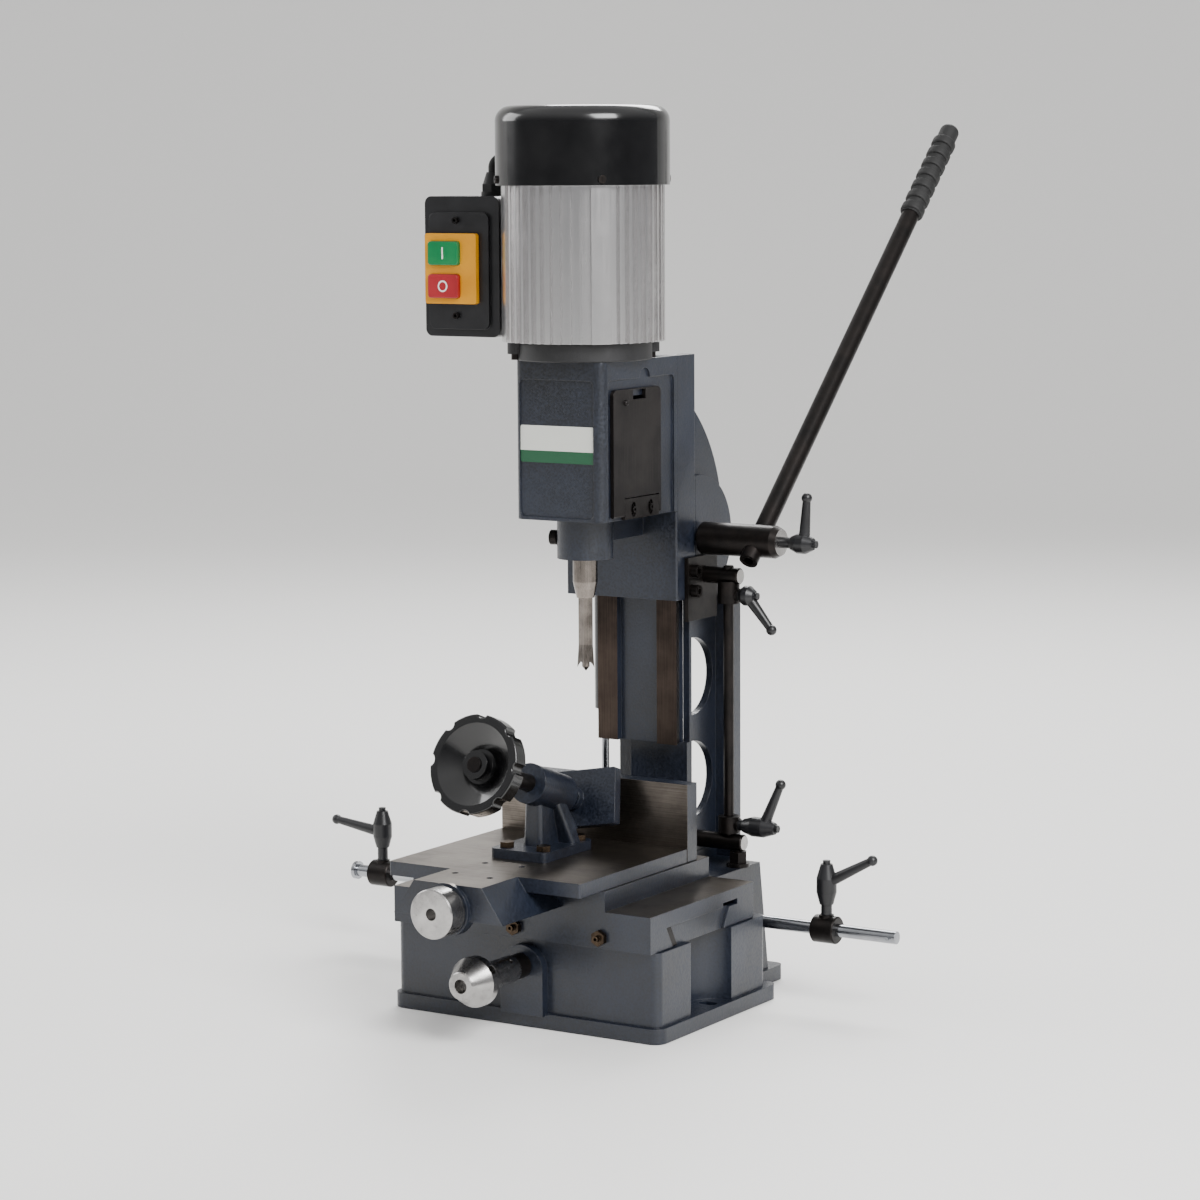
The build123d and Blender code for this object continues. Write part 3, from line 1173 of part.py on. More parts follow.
with BuildPart() as pinion_shaft:
    with BuildSketch(Plane(
        origin=(COLUMN_X - GEAR_W / 2, HUB_Y, HUB_Z), x_dir=(0, -1, 0), z_dir=(1, 0, 0)
    )):
        with BuildLine():
            Polyline(*gear_outline(GEAR_TEETH, GEAR_MODULE), close=True)
        make_face()
    extrude(amount=GEAR_W)
    bar((SHAFT_LEFT, HUB_Y, HUB_Z), (1, 0, 0), shaft_r, HUB_START - SHAFT_LEFT + 1)
    bar((SHAFT_LEFT, HUB_Y, HUB_Z), (1, 0, 0), shaft_r + 5, COLUMN_LEFT - AIR - SHAFT_LEFT)
    bar((HUB_START, HUB_Y, HUB_Z), (1, 0, 0), HUB_D / 2, HUB_WASHER - HUB_START)
    with Locations(Plane(origin=(HUB_WASHER, HUB_Y, HUB_Z), z_dir=(1, 0, 0)).location):
        Cone(
            HUB_D / 2, HUB_D / 2 - 3, HUB_END - HUB_WASHER,
            align=(Align.CENTER, Align.CENTER, Align.MIN),
        )
    drill(on_bar(-40), bar_way, BAR_D / 2, 80)
    drill((HUB_END + 1, HUB_Y, HUB_Z), (-1, 0, 0), LEVER_STUD_R + FIT, 15)
save(pinion_shaft.part, "pinion_shaft")

with BuildPart() as lever_bar:
    bar(on_bar(-BAR_BELOW), bar_way, BAR_D / 2, BAR_BELOW + BAR_TOP)
    drill(on_bar(-BAR_BELOW - 1), bar_way, BAR_D / 2 - 4, 12)
save(lever_bar.part, "lever_bar")

with BuildPart() as lever_grip:
    bar(on_bar(GRIP_START), bar_way, GRIP_D / 2 - RIDGE_OUT, GRIP_END - GRIP_START)
    fillet(lever_grip.faces().sort_by(Axis.Z)[-1].edges(), 6)
    ridge_step = (GRIP_END - GRIP_START - 16) / GRIP_RIDGES
    for ridge in range(GRIP_RIDGES):
        bar(on_bar(GRIP_START + 2 + ridge * ridge_step), bar_way, GRIP_D / 2, ridge_step * 0.6)
    crests = lever_grip.edges().filter_by(GeomType.CIRCLE)
    fillet(crests.filter_by(lambda edge: abs(edge.radius - GRIP_D / 2) < FIT), RIDGE_OUT - 0.4)
    drill(on_bar(GRIP_START - 1), bar_way, BAR_D / 2, BAR_TOP - GRIP_START + 1)
save(lever_grip.part, "lever_grip")

save(
    put(clamp_lever(11, 23, 24, (43, 27), 8), (HUB_END, HUB_Y, HUB_Z), (1, 0, 0), (0, 0, 1)),
    "hub_lever",
)

# ================================================================ DEPTH STOP, moving
with BuildPart() as stop_bracket:
    block((HEAD_RIGHT, BRACKET_FRONT, BRACKET_LOW), (HEAD_RIGHT + BRACKET_T, BRACKET_BACK, BRACKET_HIGH))
    bar_start = HEAD_RIGHT + BRACKET_T - 1
    bar((bar_start, STOP_Y, STOP_BAR_Z), (1, 0, 0), STOP_BAR_D / 2, STOP_BAR_END - bar_start)
    chamfer(stop_bracket.faces().sort_by(Axis.X)[-1].edges(), 1.2)
    drill((STOP_X, STOP_Y, STOP_BAR_Z - 20), (0, 0, 1), STOP_ROD_D / 2 + FIT, 40)
    for z in BRACKET_SCREWS:
        drill((HEAD_RIGHT - 1, BRACKET_SCREW_Y, z), (1, 0, 0), BRACKET_SCREW_D / 2 + WIN, BRACKET_T + 2)
save(stop_bracket.part, "stop_bracket")

collar_face = STOP_X + STOP_COLLAR_D / 2
with BuildPart() as upper_collar:
    bar((STOP_X, STOP_Y, UPPER_LOW), (0, 0, 1), STOP_COLLAR_D / 2, UPPER_TOP - UPPER_LOW)
    bar((STOP_X, STOP_Y, UPPER_LEVER_Z), (1, 0, 0), 6.5, STOP_COLLAR_D / 2 + 1)
    bar((WAY_RIGHT, STOP_Y, STOP_BAR_Z), (1, 0, 0), STOP_BAR_D / 2, 60, Mode.SUBTRACT)
    drill((STOP_X, STOP_Y, UPPER_LOW - 1), (0, 0, 1), STOP_ROD_D / 2 + FIT, 40)
    drill((STOP_X, STOP_Y, UPPER_LEVER_Z), (1, 0, 0), LEVER_STUD_R + FIT, 20)
save(upper_collar.part, "upper_collar")

with BuildPart() as depth_collar:
    bar((STOP_X, STOP_Y, COLLAR_LOW), (0, 0, 1), STOP_COLLAR_D / 2, COLLAR_H)
    bar((STOP_X, STOP_Y, COLLAR_LOW + COLLAR_H / 2), (1, 0, 0), 6.5, STOP_COLLAR_D / 2 + 1)
    drill((STOP_X, STOP_Y, COLLAR_LOW - 1), (0, 0, 1), STOP_ROD_D / 2 + FIT, 20)
    drill((STOP_X, STOP_Y, COLLAR_LOW + COLLAR_H / 2), (1, 0, 0), LEVER_STUD_R + FIT, 20)
save(depth_collar.part, "depth_collar")

stud_in = STOP_COLLAR_D / 2 + 1 - STOP_ROD_D / 2 - 1
save(
    put(
        clamp_lever(2, 15, 9, (31, 35), stud_in),
        (collar_face + 1, STOP_Y, UPPER_LEVER_Z), (1, 0, 0), (0, 0, -1),
    ), "upper_lever",
)
save(
    put(
        clamp_lever(5, 34, 26, (43, 45), stud_in),
        (collar_face + 1, STOP_Y, COLLAR_LOW + COLLAR_H / 2), (1, 0, 0), (0, 0, 1),
    ), "depth_lever",
)

# ================================================================ SADDLE
flank = tan(radians(DOVETAIL))
rail_front, rail_back = RAIL_Y - RAIL_TOP_W / 2, RAIL_Y + RAIL_TOP_W / 2
gib_y = X_GIB_T / cos(radians(DOVETAIL))
saddle_low = BODY_TOP + 0.5
slab_low = rail_top + SLIDE_GAP
slide_half = TONGUE_W / 2
flank_y = tan(radians(SLIDE_FLANK))
plate_low = TABLE_TOP - TABLE_T
top_half = slide_half + TABLE_T * flank_y               # slide's half width under the table
low_half = slide_half + (TABLE_TOP - SLAB_TOP) * flank_y  # and at its foot
cheek_top = plate_low - SLIDE_GAP
x_gib_screws = (Y_FEED_X + 8, Y_FEED_X + 100)
gib_screw_z = 93.0


def rail_flank(z, front):
    """The rail's flank at a height, on its front or its back side."""
    drop = (rail_top - z) * flank
    return rail_front + drop if front else rail_back - drop


with BuildPart() as saddle_casting:
    with BuildSketch(Plane.YZ.offset(-SADDLE_L / 2)):
        with BuildLine():
            Polyline(
                (SADDLE_FRONT, saddle_low), (SADDLE_FRONT, SLAB_TOP), (SADDLE_BACK, SLAB_TOP),
                (SADDLE_BACK, saddle_low), close=True,
            )
        make_face()
        with BuildLine():
            Polyline(
                (rail_flank(saddle_low - 1, True) - gib_y - SLIDE_GAP, saddle_low - 1),
                (rail_flank(slab_low, True) - gib_y - SLIDE_GAP, slab_low),
                (rail_flank(slab_low, False) + SLIDE_GAP, slab_low),
                (rail_flank(saddle_low - 1, False) + SLIDE_GAP, saddle_low - 1),
                close=True,
            )
        make_face(mode=Mode.SUBTRACT)
    extrude(amount=SADDLE_L)
    # arm and ring for the travel stop rod, behind on the left
    block(
        (LUG_X, SADDLE_BACK - 8, saddle_low), (LUG_X + LUG_T_X, ROD_Y + 8, saddle_low + 18)
    )
    bar((LUG_X, ROD_Y, ROD_Z), (1, 0, 0), LUG_RING_R, LUG_T_X)
    block((LUG_X, ROD_Y - 8, ROD_Z), (LUG_X + LUG_T_X, ROD_Y + 8, saddle_low + 1))
    drill((LUG_X - 1, ROD_Y, ROD_Z), (1, 0, 0), ROD_D / 2, LUG_T_X + 2)
    # cheeks that guide the table's slide
    with BuildSketch(Plane.XZ.offset(-SADDLE_FRONT)):
        for side in (-1, 1):
            with BuildLine():
                gap = Y_GIB_T + SLIDE_GAP if side < 0 else SLIDE_GAP
                inner_low = low_half + gap
                inner_top = low_half - (cheek_top - SLAB_TOP) * flank_y + gap
                Polyline(
                    (Y_FEED_X + side * inner_low, SLAB_TOP),
                    (Y_FEED_X + side * inner_top, cheek_top),
                    (Y_FEED_X + side * CHEEK_OUT, cheek_top),
                    (Y_FEED_X + side * CHEEK_OUT, SLAB_TOP), close=True,
                )
            make_face()
    extrude(amount=-(SADDLE_BACK - SADDLE_FRONT))
    # nut of the table's feed screw
    block(
        (Y_FEED_X - NUT_W / 2, NUT_FRONT, SLAB_TOP - 1),
        (Y_FEED_X + NUT_W / 2, NUT_BACK, Y_FEED_Z + 7.5),
    )
    drill((Y_FEED_X, NUT_FRONT - 1, Y_FEED_Z), (0, 1, 0), Y_SCREW_D / 2 + FIT, 40)
    # clearance for the screw in front of the nut and behind it
    block(
        (Y_FEED_X - 8, SADDLE_FRONT - 1, SLAB_TOP - 4), (Y_FEED_X + 8, NUT_FRONT, SLAB_TOP + 1),
        mode=Mode.SUBTRACT,
    )
    # tapped holes for the gib's screws
    for x in x_gib_screws:
        drill((x, SADDLE_FRONT - 1, gib_screw_z), (0, 1, 0), GIB_SCREW_D / 2, 60)
    # chip slots in the slab's right end
    block((SADDLE_L / 2 - 14, -20, slab_low - 1), (SADDLE_L / 2 + 1, 6, slab_low + 4), mode=Mode.SUBTRACT)
save(saddle_casting.part, "saddle_casting")

with BuildPart() as saddle_gib:
    with BuildSketch(Plane.YZ.offset(-SADDLE_L / 2 + 1)):
        with BuildLine():
            low, high = saddle_low + 0.5, slab_low - 0.5
            Polyline(
                (rail_flank(low, True) - gib_y - SLIDE_GAP, low),
                (rail_flank(high, True) - gib_y - SLIDE_GAP, high),
                (rail_flank(high, True) - SLIDE_GAP, high), (rail_flank(low, True) - SLIDE_GAP, low),
                close=True,
            )
        make_face()
    extrude(amount=SADDLE_L - 2)

# the second gib fills the wider gap beside the table's slide, on the left
gib_top = cheek_top - 0.5
top_in = low_half - (gib_top - SLAB_TOP) * flank_y + SLIDE_GAP
with BuildPart() as table_gib:
    with BuildSketch(Plane.XZ.offset(-SADDLE_FRONT - 1)):
        with BuildLine():
            Polyline(
                (Y_FEED_X - low_half - SLIDE_GAP, SLAB_TOP), (Y_FEED_X - top_in, gib_top),
                (Y_FEED_X - top_in - Y_GIB_T, gib_top),
                (Y_FEED_X - low_half - SLIDE_GAP - Y_GIB_T, SLAB_TOP), close=True,
            )
        make_face()
    extrude(amount=-(SADDLE_BACK - SADDLE_FRONT - 2))
save(group([saddle_gib.part, table_gib.part]), "saddle_gib")

gib_screw_in = rail_flank(gib_screw_z, True) - gib_y - SLIDE_GAP - GIB_SCREW_D * flank / 2 - SADDLE_FRONT
gib_screws = []
for x in x_gib_screws:
    with BuildPart() as grub:
        bar((0, 0, 9), (0, 0, -1), GIB_SCREW_D / 2, gib_screw_in + 9)
        with BuildSketch():
            RegularPolygon(7.5, 6)
        extrude(amount=5)
        with BuildSketch(Plane.XY.offset(9)):
            RegularPolygon(1.7, 6)
        extrude(amount=-4, mode=Mode.SUBTRACT)
    gib_screws.append(put(grub.part, (x, SADDLE_FRONT, gib_screw_z), (0, -1, 0)))
save(group(gib_screws), "gib_screws")

with BuildPart() as saddle_rack:
    with BuildSketch(Plane.XY.offset(-GEAR_W / 2)):
        with BuildLine():
            Polyline(*rack_outline(GEAR_MODULE, x_rack_half, slab_low - x_pitch_z), close=True)
        make_face()
    extrude(amount=GEAR_W)
save(put(saddle_rack.part, (X_FEED_X, RAIL_Y, x_pitch_z), (0, -1, 0), (1, 0, 0)), "saddle_rack")

with BuildPart() as stop_rod:
    bar((ROD_LEFT, ROD_Y, ROD_Z), (1, 0, 0), ROD_D / 2, ROD_RIGHT - ROD_LEFT)
    bar((ROD_LEFT, ROD_Y, ROD_Z), (1, 0, 0), ROD_D / 2 + 3, 4)
    bar((ROD_RIGHT - 6, ROD_Y - 9, ROD_Z), (0, 1, 0), 1.5, 18)
save(stop_rod.part, "stop_rod")

levers = {
    "left_stop": (LEFT_COLLAR_X, clamp_lever(13, 37, 28, (-57, 36), 6)),
    "right_stop": (RIGHT_COLLAR_X, clamp_lever(10, 38, 30, (48, 56), 6)),
}
for name, (x, lever) in levers.items():
    with BuildPart() as collar:
        bar((x - ROD_COLLAR_W / 2, ROD_Y, ROD_Z), (1, 0, 0), ROD_COLLAR_D / 2, ROD_COLLAR_W)
        bar((x, ROD_Y, ROD_Z), (0, 0, 1), 7, ROD_COLLAR_D / 2 + 1)
        chamfer(collar.faces().filter_by(Axis.X).edges().filter_by(GeomType.CIRCLE), 1)
        drill((x - ROD_COLLAR_W, ROD_Y, ROD_Z), (1, 0, 0), ROD_D / 2 + FIT, 2 * ROD_COLLAR_W)
        drill((x, ROD_Y, ROD_Z), (0, 0, 1), LEVER_STUD_R + FIT, 30)
    save(collar.part, f"{name}_collar")
    save(put(lever, (x, ROD_Y, ROD_Z + ROD_COLLAR_D / 2 + 1), (0, 0, 1), (1, 0, 0)), f"{name}_lever")

# ================================================================ CROSS FEED
x_back = RAIL_Y + GEAR_W / 2 + 18
with BuildPart() as x_feed_shaft:
    bar((X_FEED_X, X_NECK_BACK - 30, X_FEED_Z), (0, 1, 0), X_SHAFT_D / 2, x_back - X_NECK_BACK + 30)
    with BuildSketch(Plane(
        origin=(X_FEED_X, RAIL_Y + GEAR_W / 2, X_FEED_Z), x_dir=(0, 0, 1), z_dir=(0, -1, 0)
    )):
        with BuildLine():
            Polyline(*gear_outline(X_TEETH, GEAR_MODULE), close=True)
        make_face()
    extrude(amount=GEAR_W)
    bar((X_FEED_X, ARCH_FRONT - 18, X_FEED_Z), (0, 1, 0), X_SHAFT_D / 2 + 1.5, 18 - AIR)
save(x_feed_shaft.part, "x_feed_shaft")

hub_wide = X_HUB_FRONT + 23
with BuildPart() as x_feed_hub:
    with BuildSketch(Plane.YZ.offset(X_FEED_X)):
        with BuildLine():
            Polyline(
                (X_HUB_FRONT, X_FEED_Z), (X_HUB_FRONT, X_FEED_Z + 12), (X_HUB_FRONT + 1, X_FEED_Z + 13),
                (hub_wide - 4, X_FEED_Z + X_HUB_D / 2), (hub_wide + 4, X_FEED_Z + X_HUB_D / 2),
                (hub_wide + 22, X_FEED_Z + X_NECK_D / 2), (X_NECK_BACK, X_FEED_Z + X_NECK_D / 2),
                (X_NECK_BACK, X_FEED_Z), close=True,
            )
        make_face()
    revolve(axis=Axis((X_FEED_X, 0, X_FEED_Z), (0, 1, 0)))
    drill((X_FEED_X, X_HUB_FRONT - 1, X_FEED_Z), (0, 1, 0), X_HUB_BORE / 2, 16)
    drill((X_FEED_X, X_NECK_BACK - 30, X_FEED_Z), (0, 1, 0), X_SHAFT_D / 2, 40)
    for angle in SPOKES:
        outward = (cos(radians(angle)), 0, sin(radians(angle)))
        drill((X_FEED_X, hub_wide, X_FEED_Z), outward, SPOKE_D / 2, X_HUB_D)
    drill((X_FEED_X, X_NECK_BACK - 10, X_FEED_Z), (0.6, 0, 0.8), 2.5, X_NECK_D)
save(x_feed_hub.part, "x_feed_hub")

# ================================================================ TABLE
slide_low = SLAB_TOP + SLIDE_GAP
with BuildPart() as table:
    with BuildSketch(Plane.XY.offset(plate_low)):
        with Locations((TABLE_X, (TABLE_FRONT + TABLE_BACK) / 2)):
            RectangleRounded(TABLE_L, TABLE_BACK - TABLE_FRONT, 2)
    extrude(amount=TABLE_T)
    # slide: a dovetail under the table that reaches out in front of it
    with BuildSketch(Plane.XZ.offset(-TONGUE_FRONT)):
        with BuildLine():
            foot = low_half - SLIDE_GAP * flank_y
            Polyline(
                (Y_FEED_X - foot, slide_low), (Y_FEED_X + foot, slide_low),
                (Y_FEED_X + slide_half, TABLE_TOP), (Y_FEED_X - slide_half, TABLE_TOP), close=True,
            )
        make_face()
    extrude(amount=-(SLIDE_BACK - TONGUE_FRONT))
    bar((Y_FEED_X, Y_BOSS_FRONT, Y_FEED_Z), (0, 1, 0), Y_BOSS_D / 2, 30)
    block(
        (Y_FEED_X - 40, TONGUE_FRONT + 1, TABLE_TOP), (Y_FEED_X + 40, TONGUE_FRONT + 50, TABLE_TOP + 9),
        mode=Mode.SUBTRACT,
    )
    block(
        (Y_FEED_X - 40, TONGUE_FRONT + 8, slide_low - 30), (Y_FEED_X + 40, TONGUE_FRONT + 50, slide_low),
        mode=Mode.SUBTRACT,
    )
    # channel for the nut and the screw, bearing in front
    block(
        (Y_FEED_X - NUT_W / 2 - 1, TONGUE_FRONT + 42, slide_low - 1),
        (Y_FEED_X + NUT_W / 2 + 1, SLIDE_BACK + 1, Y_FEED_Z + 8.5), mode=Mode.SUBTRACT,
    )
    drill((Y_FEED_X, Y_BOSS_FRONT - 1, Y_FEED_Z), (0, 1, 0), Y_SCREW_D / 2 + FIT, 60)
    for x, y in TABLE_HOLES:
        drill((x, y, TABLE_TOP + 1), (0, 0, -1), 3.2, 11)
    for x, y in FOOT_BOLTS:
        drill((x, y, TABLE_TOP + 1), (0, 0, -1), FOOT_BOLT_D / 2, 11)
    for x in FENCE_SCREWS:
        drill((x, TABLE_BACK + 1, plate_low + TABLE_T / 2), (0, -1, 0), FENCE_SCREW_D / 2, FENCE_SCREW_IN + 3)
save(table.part, "table")

fence_seat = TABLE_BACK + FENCE_T - FENCE_SCREW_D - 1
with BuildPart() as fence:
    block(
        (TABLE_LEFT, TABLE_BACK, plate_low + SLIDE_GAP), (TABLE_RIGHT, TABLE_BACK + FENCE_T, FENCE_TOP)
    )
    for x in FENCE_SCREWS:
        drill(
            (x, TABLE_BACK - 1, plate_low + TABLE_T / 2), (0, 1, 0), FENCE_SCREW_D / 2 + WIN, FENCE_T + 2
        )
        drill((x, fence_seat, plate_low + TABLE_T / 2), (0, 1, 0), FENCE_SCREW_D + 2 * WIN, FENCE_T)
save(fence.part, "fence")

with BuildPart() as y_feed_screw:
    bar((Y_FEED_X, Y_COLLAR_FRONT + 8, Y_FEED_Z), (0, 1, 0), Y_SCREW_D / 2, Y_SCREW_END - Y_COLLAR_FRONT - 8)
    bar((Y_FEED_X, Y_COLLAR_FRONT, Y_FEED_Z), (0, 1, 0), Y_COLLAR_D / 2, Y_BOSS_FRONT - AIR - Y_COLLAR_FRONT)
    rims = y_feed_screw.faces().filter_by(Axis.Y).edges().filter_by(GeomType.CIRCLE)
    chamfer(rims.sort_by(SortBy.RADIUS)[-2:], 1)
    drill((Y_FEED_X, Y_COLLAR_FRONT - 1, Y_FEED_Z), (0, 1, 0), Y_COLLAR_BORE / 2, 14)
save(y_feed_screw.part, "y_feed_screw")

# ================================================================ WORK CLAMP
tilt_y, tilt_z = cos(radians(CLAMP_TILT)), -sin(radians(CLAMP_TILT))
screw_way = (0, tilt_y, tilt_z)


def on_screw(distance):
    """A point on the clamp screw's axis, from the wheel's middle."""
    return (CLAMP_X, WHEEL_Y + distance * tilt_y, WHEEL_Z + distance * tilt_z)


barrel_mid = on_screw((BARREL_START + BARREL_END) / 2)
with BuildPart() as clamp_bracket:
    with BuildSketch(Plane.XY.offset(TABLE_TOP)):
        with Locations(((FOOT_LEFT + FOOT_RIGHT) / 2, (FOOT_FRONT + FOOT_BACK) / 2)):
            RectangleRounded(FOOT_RIGHT - FOOT_LEFT, FOOT_BACK - FOOT_FRONT, 6)
    extrude(amount=FOOT_H)
    # neck: an upright web and a broad foot behind it
    with BuildSketch(Plane.XY.offset(TABLE_TOP + FOOT_H - 1)):
        with Locations((CLAMP_X, FOOT_FRONT + 46)):
            RectangleRounded(20, 44, 4)
    with BuildSketch(Plane.XY.offset(barrel_mid[2] - 6)):
        with Locations((CLAMP_X, barrel_mid[1] - 3)):
            RectangleRounded(17, 36, 4)
    loft()
    with BuildSketch(Plane.XY.offset(TABLE_TOP + FOOT_H - 1)):
        with Locations((CLAMP_X, FOOT_BACK - 18)):
            RectangleRounded(52, 22, 5)
    with BuildSketch(Plane.XY.offset(barrel_mid[2] - 10)):
        with Locations((CLAMP_X, barrel_mid[1] + 6)):
            RectangleRounded(30, 14, 4)
    loft()
    bar(on_screw(BARREL_START), screw_way, BARREL_D / 2, BARREL_END - BARREL_START)
    drill(on_screw(BARREL_START - 1), screw_way, CLAMP_SCREW_D / 2 + FIT, 80)
    for x, y in FOOT_BOLTS:
        drill((x, y, TABLE_TOP - 1), (0, 0, 1), FOOT_BOLT_D / 2 + WIN, FOOT_H + 2)
        drill((x, y, TABLE_TOP + FOOT_H), (0, 0, 1), 9, 12)
save(clamp_bracket.part, "clamp_bracket")

save(
    group([
        put(hex_bolt(FOOT_BOLT_D, FOOT_H + 9), (x, y, TABLE_TOP + FOOT_H), (0, 0, 1))
        for x, y in FOOT_BOLTS
    ] + [
        put(
            socket_screw(FENCE_SCREW_D, fence_seat - TABLE_BACK + FENCE_SCREW_IN),
            (x, fence_seat, plate_low + TABLE_T / 2), (0, 1, 0),
        )
        for x in FENCE_SCREWS
    ]), "clamp_bolts",
)

with BuildPart() as clamp_screw:
    bar(on_screw(-7), screw_way, WHEEL_BORE / 2, 40)
    bar(on_screw(WHEEL_T / 2 + 12), screw_way, CLAMP_SCREW_D / 2, PAD_AT - WHEEL_T / 2 - 23)
    bar(on_screw(PAD_AT - 12), screw_way, 4, 10)
    with Locations(on_screw(PAD_AT - 1)):
        Sphere(BALL_D / 2)
save(clamp_screw.part, "clamp_screw")

with BuildPart() as wheel:
    with BuildSketch(Plane.XY.offset(-WHEEL_T / 2)):
        Circle(WHEEL_D / 2)
        with PolarLocations(WHEEL_D / 2 + NOTCH_R - NOTCH_DEEP, WHEEL_LOBES):
            Circle(NOTCH_R, mode=Mode.SUBTRACT)
    extrude(amount=WHEEL_T)
    fillet(wheel.faces().filter_by(Axis.Z).edges(), 1.5)
    # dish in front, narrowing to the hub in its middle
    with Locations((0, 0, WHEEL_T / 2 - DISH_DEEP)):
        Cone(
            HUB_BOSS_R + 3, WHEEL_D / 2 - RIM_W, DISH_DEEP,
            align=(Align.CENTER, Align.CENTER, Align.MIN), mode=Mode.SUBTRACT,
        )
    bar((0, 0, -WHEEL_T / 2), (0, 0, 1), HUB_BOSS_R, WHEEL_T - 3)
    bar((0, 0, -WHEEL_T / 2 - 12), (0, 0, 1), 14, 14)
    drill((0, 0, -40), (0, 0, 1), WHEEL_BORE / 2, 80)
save(put(wheel.part, on_screw(0), (0, -tilt_y, -tilt_z), (1, 0, 0)), "handwheel")

with BuildPart() as pad:
    with BuildSketch():
        RectangleRounded(PAD_WIDE, PAD_HIGH, 2)
    extrude(amount=PAD_T)
    bar((0, 0, 1), (0, 0, -1), 12, 9)
    with Locations((0, 0, -1)):
        Sphere(BALL_D / 2 + FIT, mode=Mode.SUBTRACT)
    bar((0, 0, -12), (0, 0, 1), 5.2, 12, Mode.SUBTRACT)
roll = radians(PAD_ROLL)
pad_across = (cos(roll), -sin(roll) * tilt_z, sin(roll) * tilt_y)
save(put(pad.part, on_screw(PAD_AT), screw_way, pad_across), "clamp_pad")

# ================================================================ HEAD SCREWS
head_screws = [
    put(
        socket_screw(BRACKET_SCREW_D, BRACKET_T + BRACKET_SCREW_IN),
        (HEAD_RIGHT + BRACKET_T, BRACKET_SCREW_Y, z), (1, 0, 0),
    )
    for z in BRACKET_SCREWS
]
for x, out in ((door_face + 2, 1), (left(door_face + 2), -1)):
    for y in LEAF_SCREWS:
        head_screws.append(put(socket_screw(LEAF_SCREW_D, 8), (x, y, LEAF_SCREW_Z), (out, 0, 0)))
for z in BOX_SCREWS:
    head_screws.append(put(socket_screw(4, 6), (BOX_SCREW_X, front_field, z), (0, -1, 0)))
with BuildPart() as set_screw:
    bar((0, 0, SHANK_D / 2), (0, 0, 1), SET_D / 2, BOSS_D / 2 - SHANK_D / 2 + 3)
    bar((0, 0, BOSS_D / 2 + 1), (0, 0, 1), 7, 7)
head_screws.append(put(set_screw.part, (SPINDLE_X, SPINDLE_Y, SET_Z), (-1, SET_SLOPE, 0)))
save(group(head_screws), "head_screws")
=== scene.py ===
import math

import bmesh
import bpy
from mathutils import Matrix, Vector


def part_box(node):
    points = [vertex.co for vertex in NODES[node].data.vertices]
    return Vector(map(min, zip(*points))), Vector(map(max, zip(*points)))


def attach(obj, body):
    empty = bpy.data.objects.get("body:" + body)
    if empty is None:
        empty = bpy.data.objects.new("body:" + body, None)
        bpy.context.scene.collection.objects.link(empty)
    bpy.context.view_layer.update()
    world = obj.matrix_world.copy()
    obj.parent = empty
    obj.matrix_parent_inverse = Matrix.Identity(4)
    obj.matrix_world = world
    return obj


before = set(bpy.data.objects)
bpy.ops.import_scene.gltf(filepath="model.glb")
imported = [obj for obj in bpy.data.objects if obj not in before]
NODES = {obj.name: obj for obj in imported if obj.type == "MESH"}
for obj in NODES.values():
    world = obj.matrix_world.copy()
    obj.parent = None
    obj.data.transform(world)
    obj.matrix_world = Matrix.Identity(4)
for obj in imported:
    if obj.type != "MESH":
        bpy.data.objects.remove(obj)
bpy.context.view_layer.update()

bl_info = {
    "name": "Benchtop Mortiser",
    "version": (1, 0, 0),
    "blender": (4, 5, 0),
    "location": "View3D > Sidebar > Mortiser",
    "description": "Finishes and small pieces of a benchtop hollow-chisel mortiser",
    "category": "Object",
}

MM = 0.001

FENCE_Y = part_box("fence")[0].y / MM     # the fence's face, in millimetres

# camera solved from the photograph: place in millimetres, with Y 0 at the fence's face, turns in
# degrees, and lens and frame in millimetres
CAMERA_AT = (1735.6, -2761.7, 789.2)
CAMERA_TURN = 32.22
CAMERA_DROP = 7.19
CAMERA_ROLL = 0.352
CAMERA_LENS = 105.06
CAMERA_FRAME = 36.0

# limits that pick the machined faces out by their middles, in millimetres and with Y from the
# fence's face
RAIL_LOW, RAIL_HIGH = 84.0, 104.0       # the base's dovetail rail, which runs along X
RAIL_HALF, RAIL_BACK = 146.0, 2.0
SLAB_LEVEL = 116.5                      # just under the saddle's top
TABLE_LEVEL = 148.5                     # just under the table's top
FENCE_SKIN = 0.5                        # just behind the fence's face
WAYS_LOW = 236.0                        # just over the lower end of the column's ways
WAYS_FRONT, WAYS_BACK = 57.5, 73.0      # just behind their front, and their back
STOP_BAR_END = 93.0                     # just inside the stop bar's right end

# a normal's part along an axis, from one that only leans that way to one that is square to it
LEANING, HALFWAY, MOSTLY, FACING, SQUARE = 0.3, 0.5, 0.6, 0.9, 0.95

CREASE = 35                             # degrees between faces from which an edge stays sharp
EDGE_ROUND = 0.25                       # round on the front edge of a mark or plate, at most

# marks on the two keys, in millimetres: how thick they are, and how far they stand out
MARK_THICK, MARK_PROUD = 0.2, 0.15
BAR_WIDE, BAR_HIGH, BAR_CORNER = 1.6, 11.0, 0.3
RING_OUTER, RING_INNER = 5.4, 3.9

# blank plate in the head's front recess, in millimetres
PLATE_X, PLATE_Z = 3.0, 530.0
PLATE_IN = 1.6                          # its face, back from the head's front
PLATE_THICK, PLATE_CORNER = 0.6, 2.0
BAND_TOP = 524.0                        # the green band's upper edge

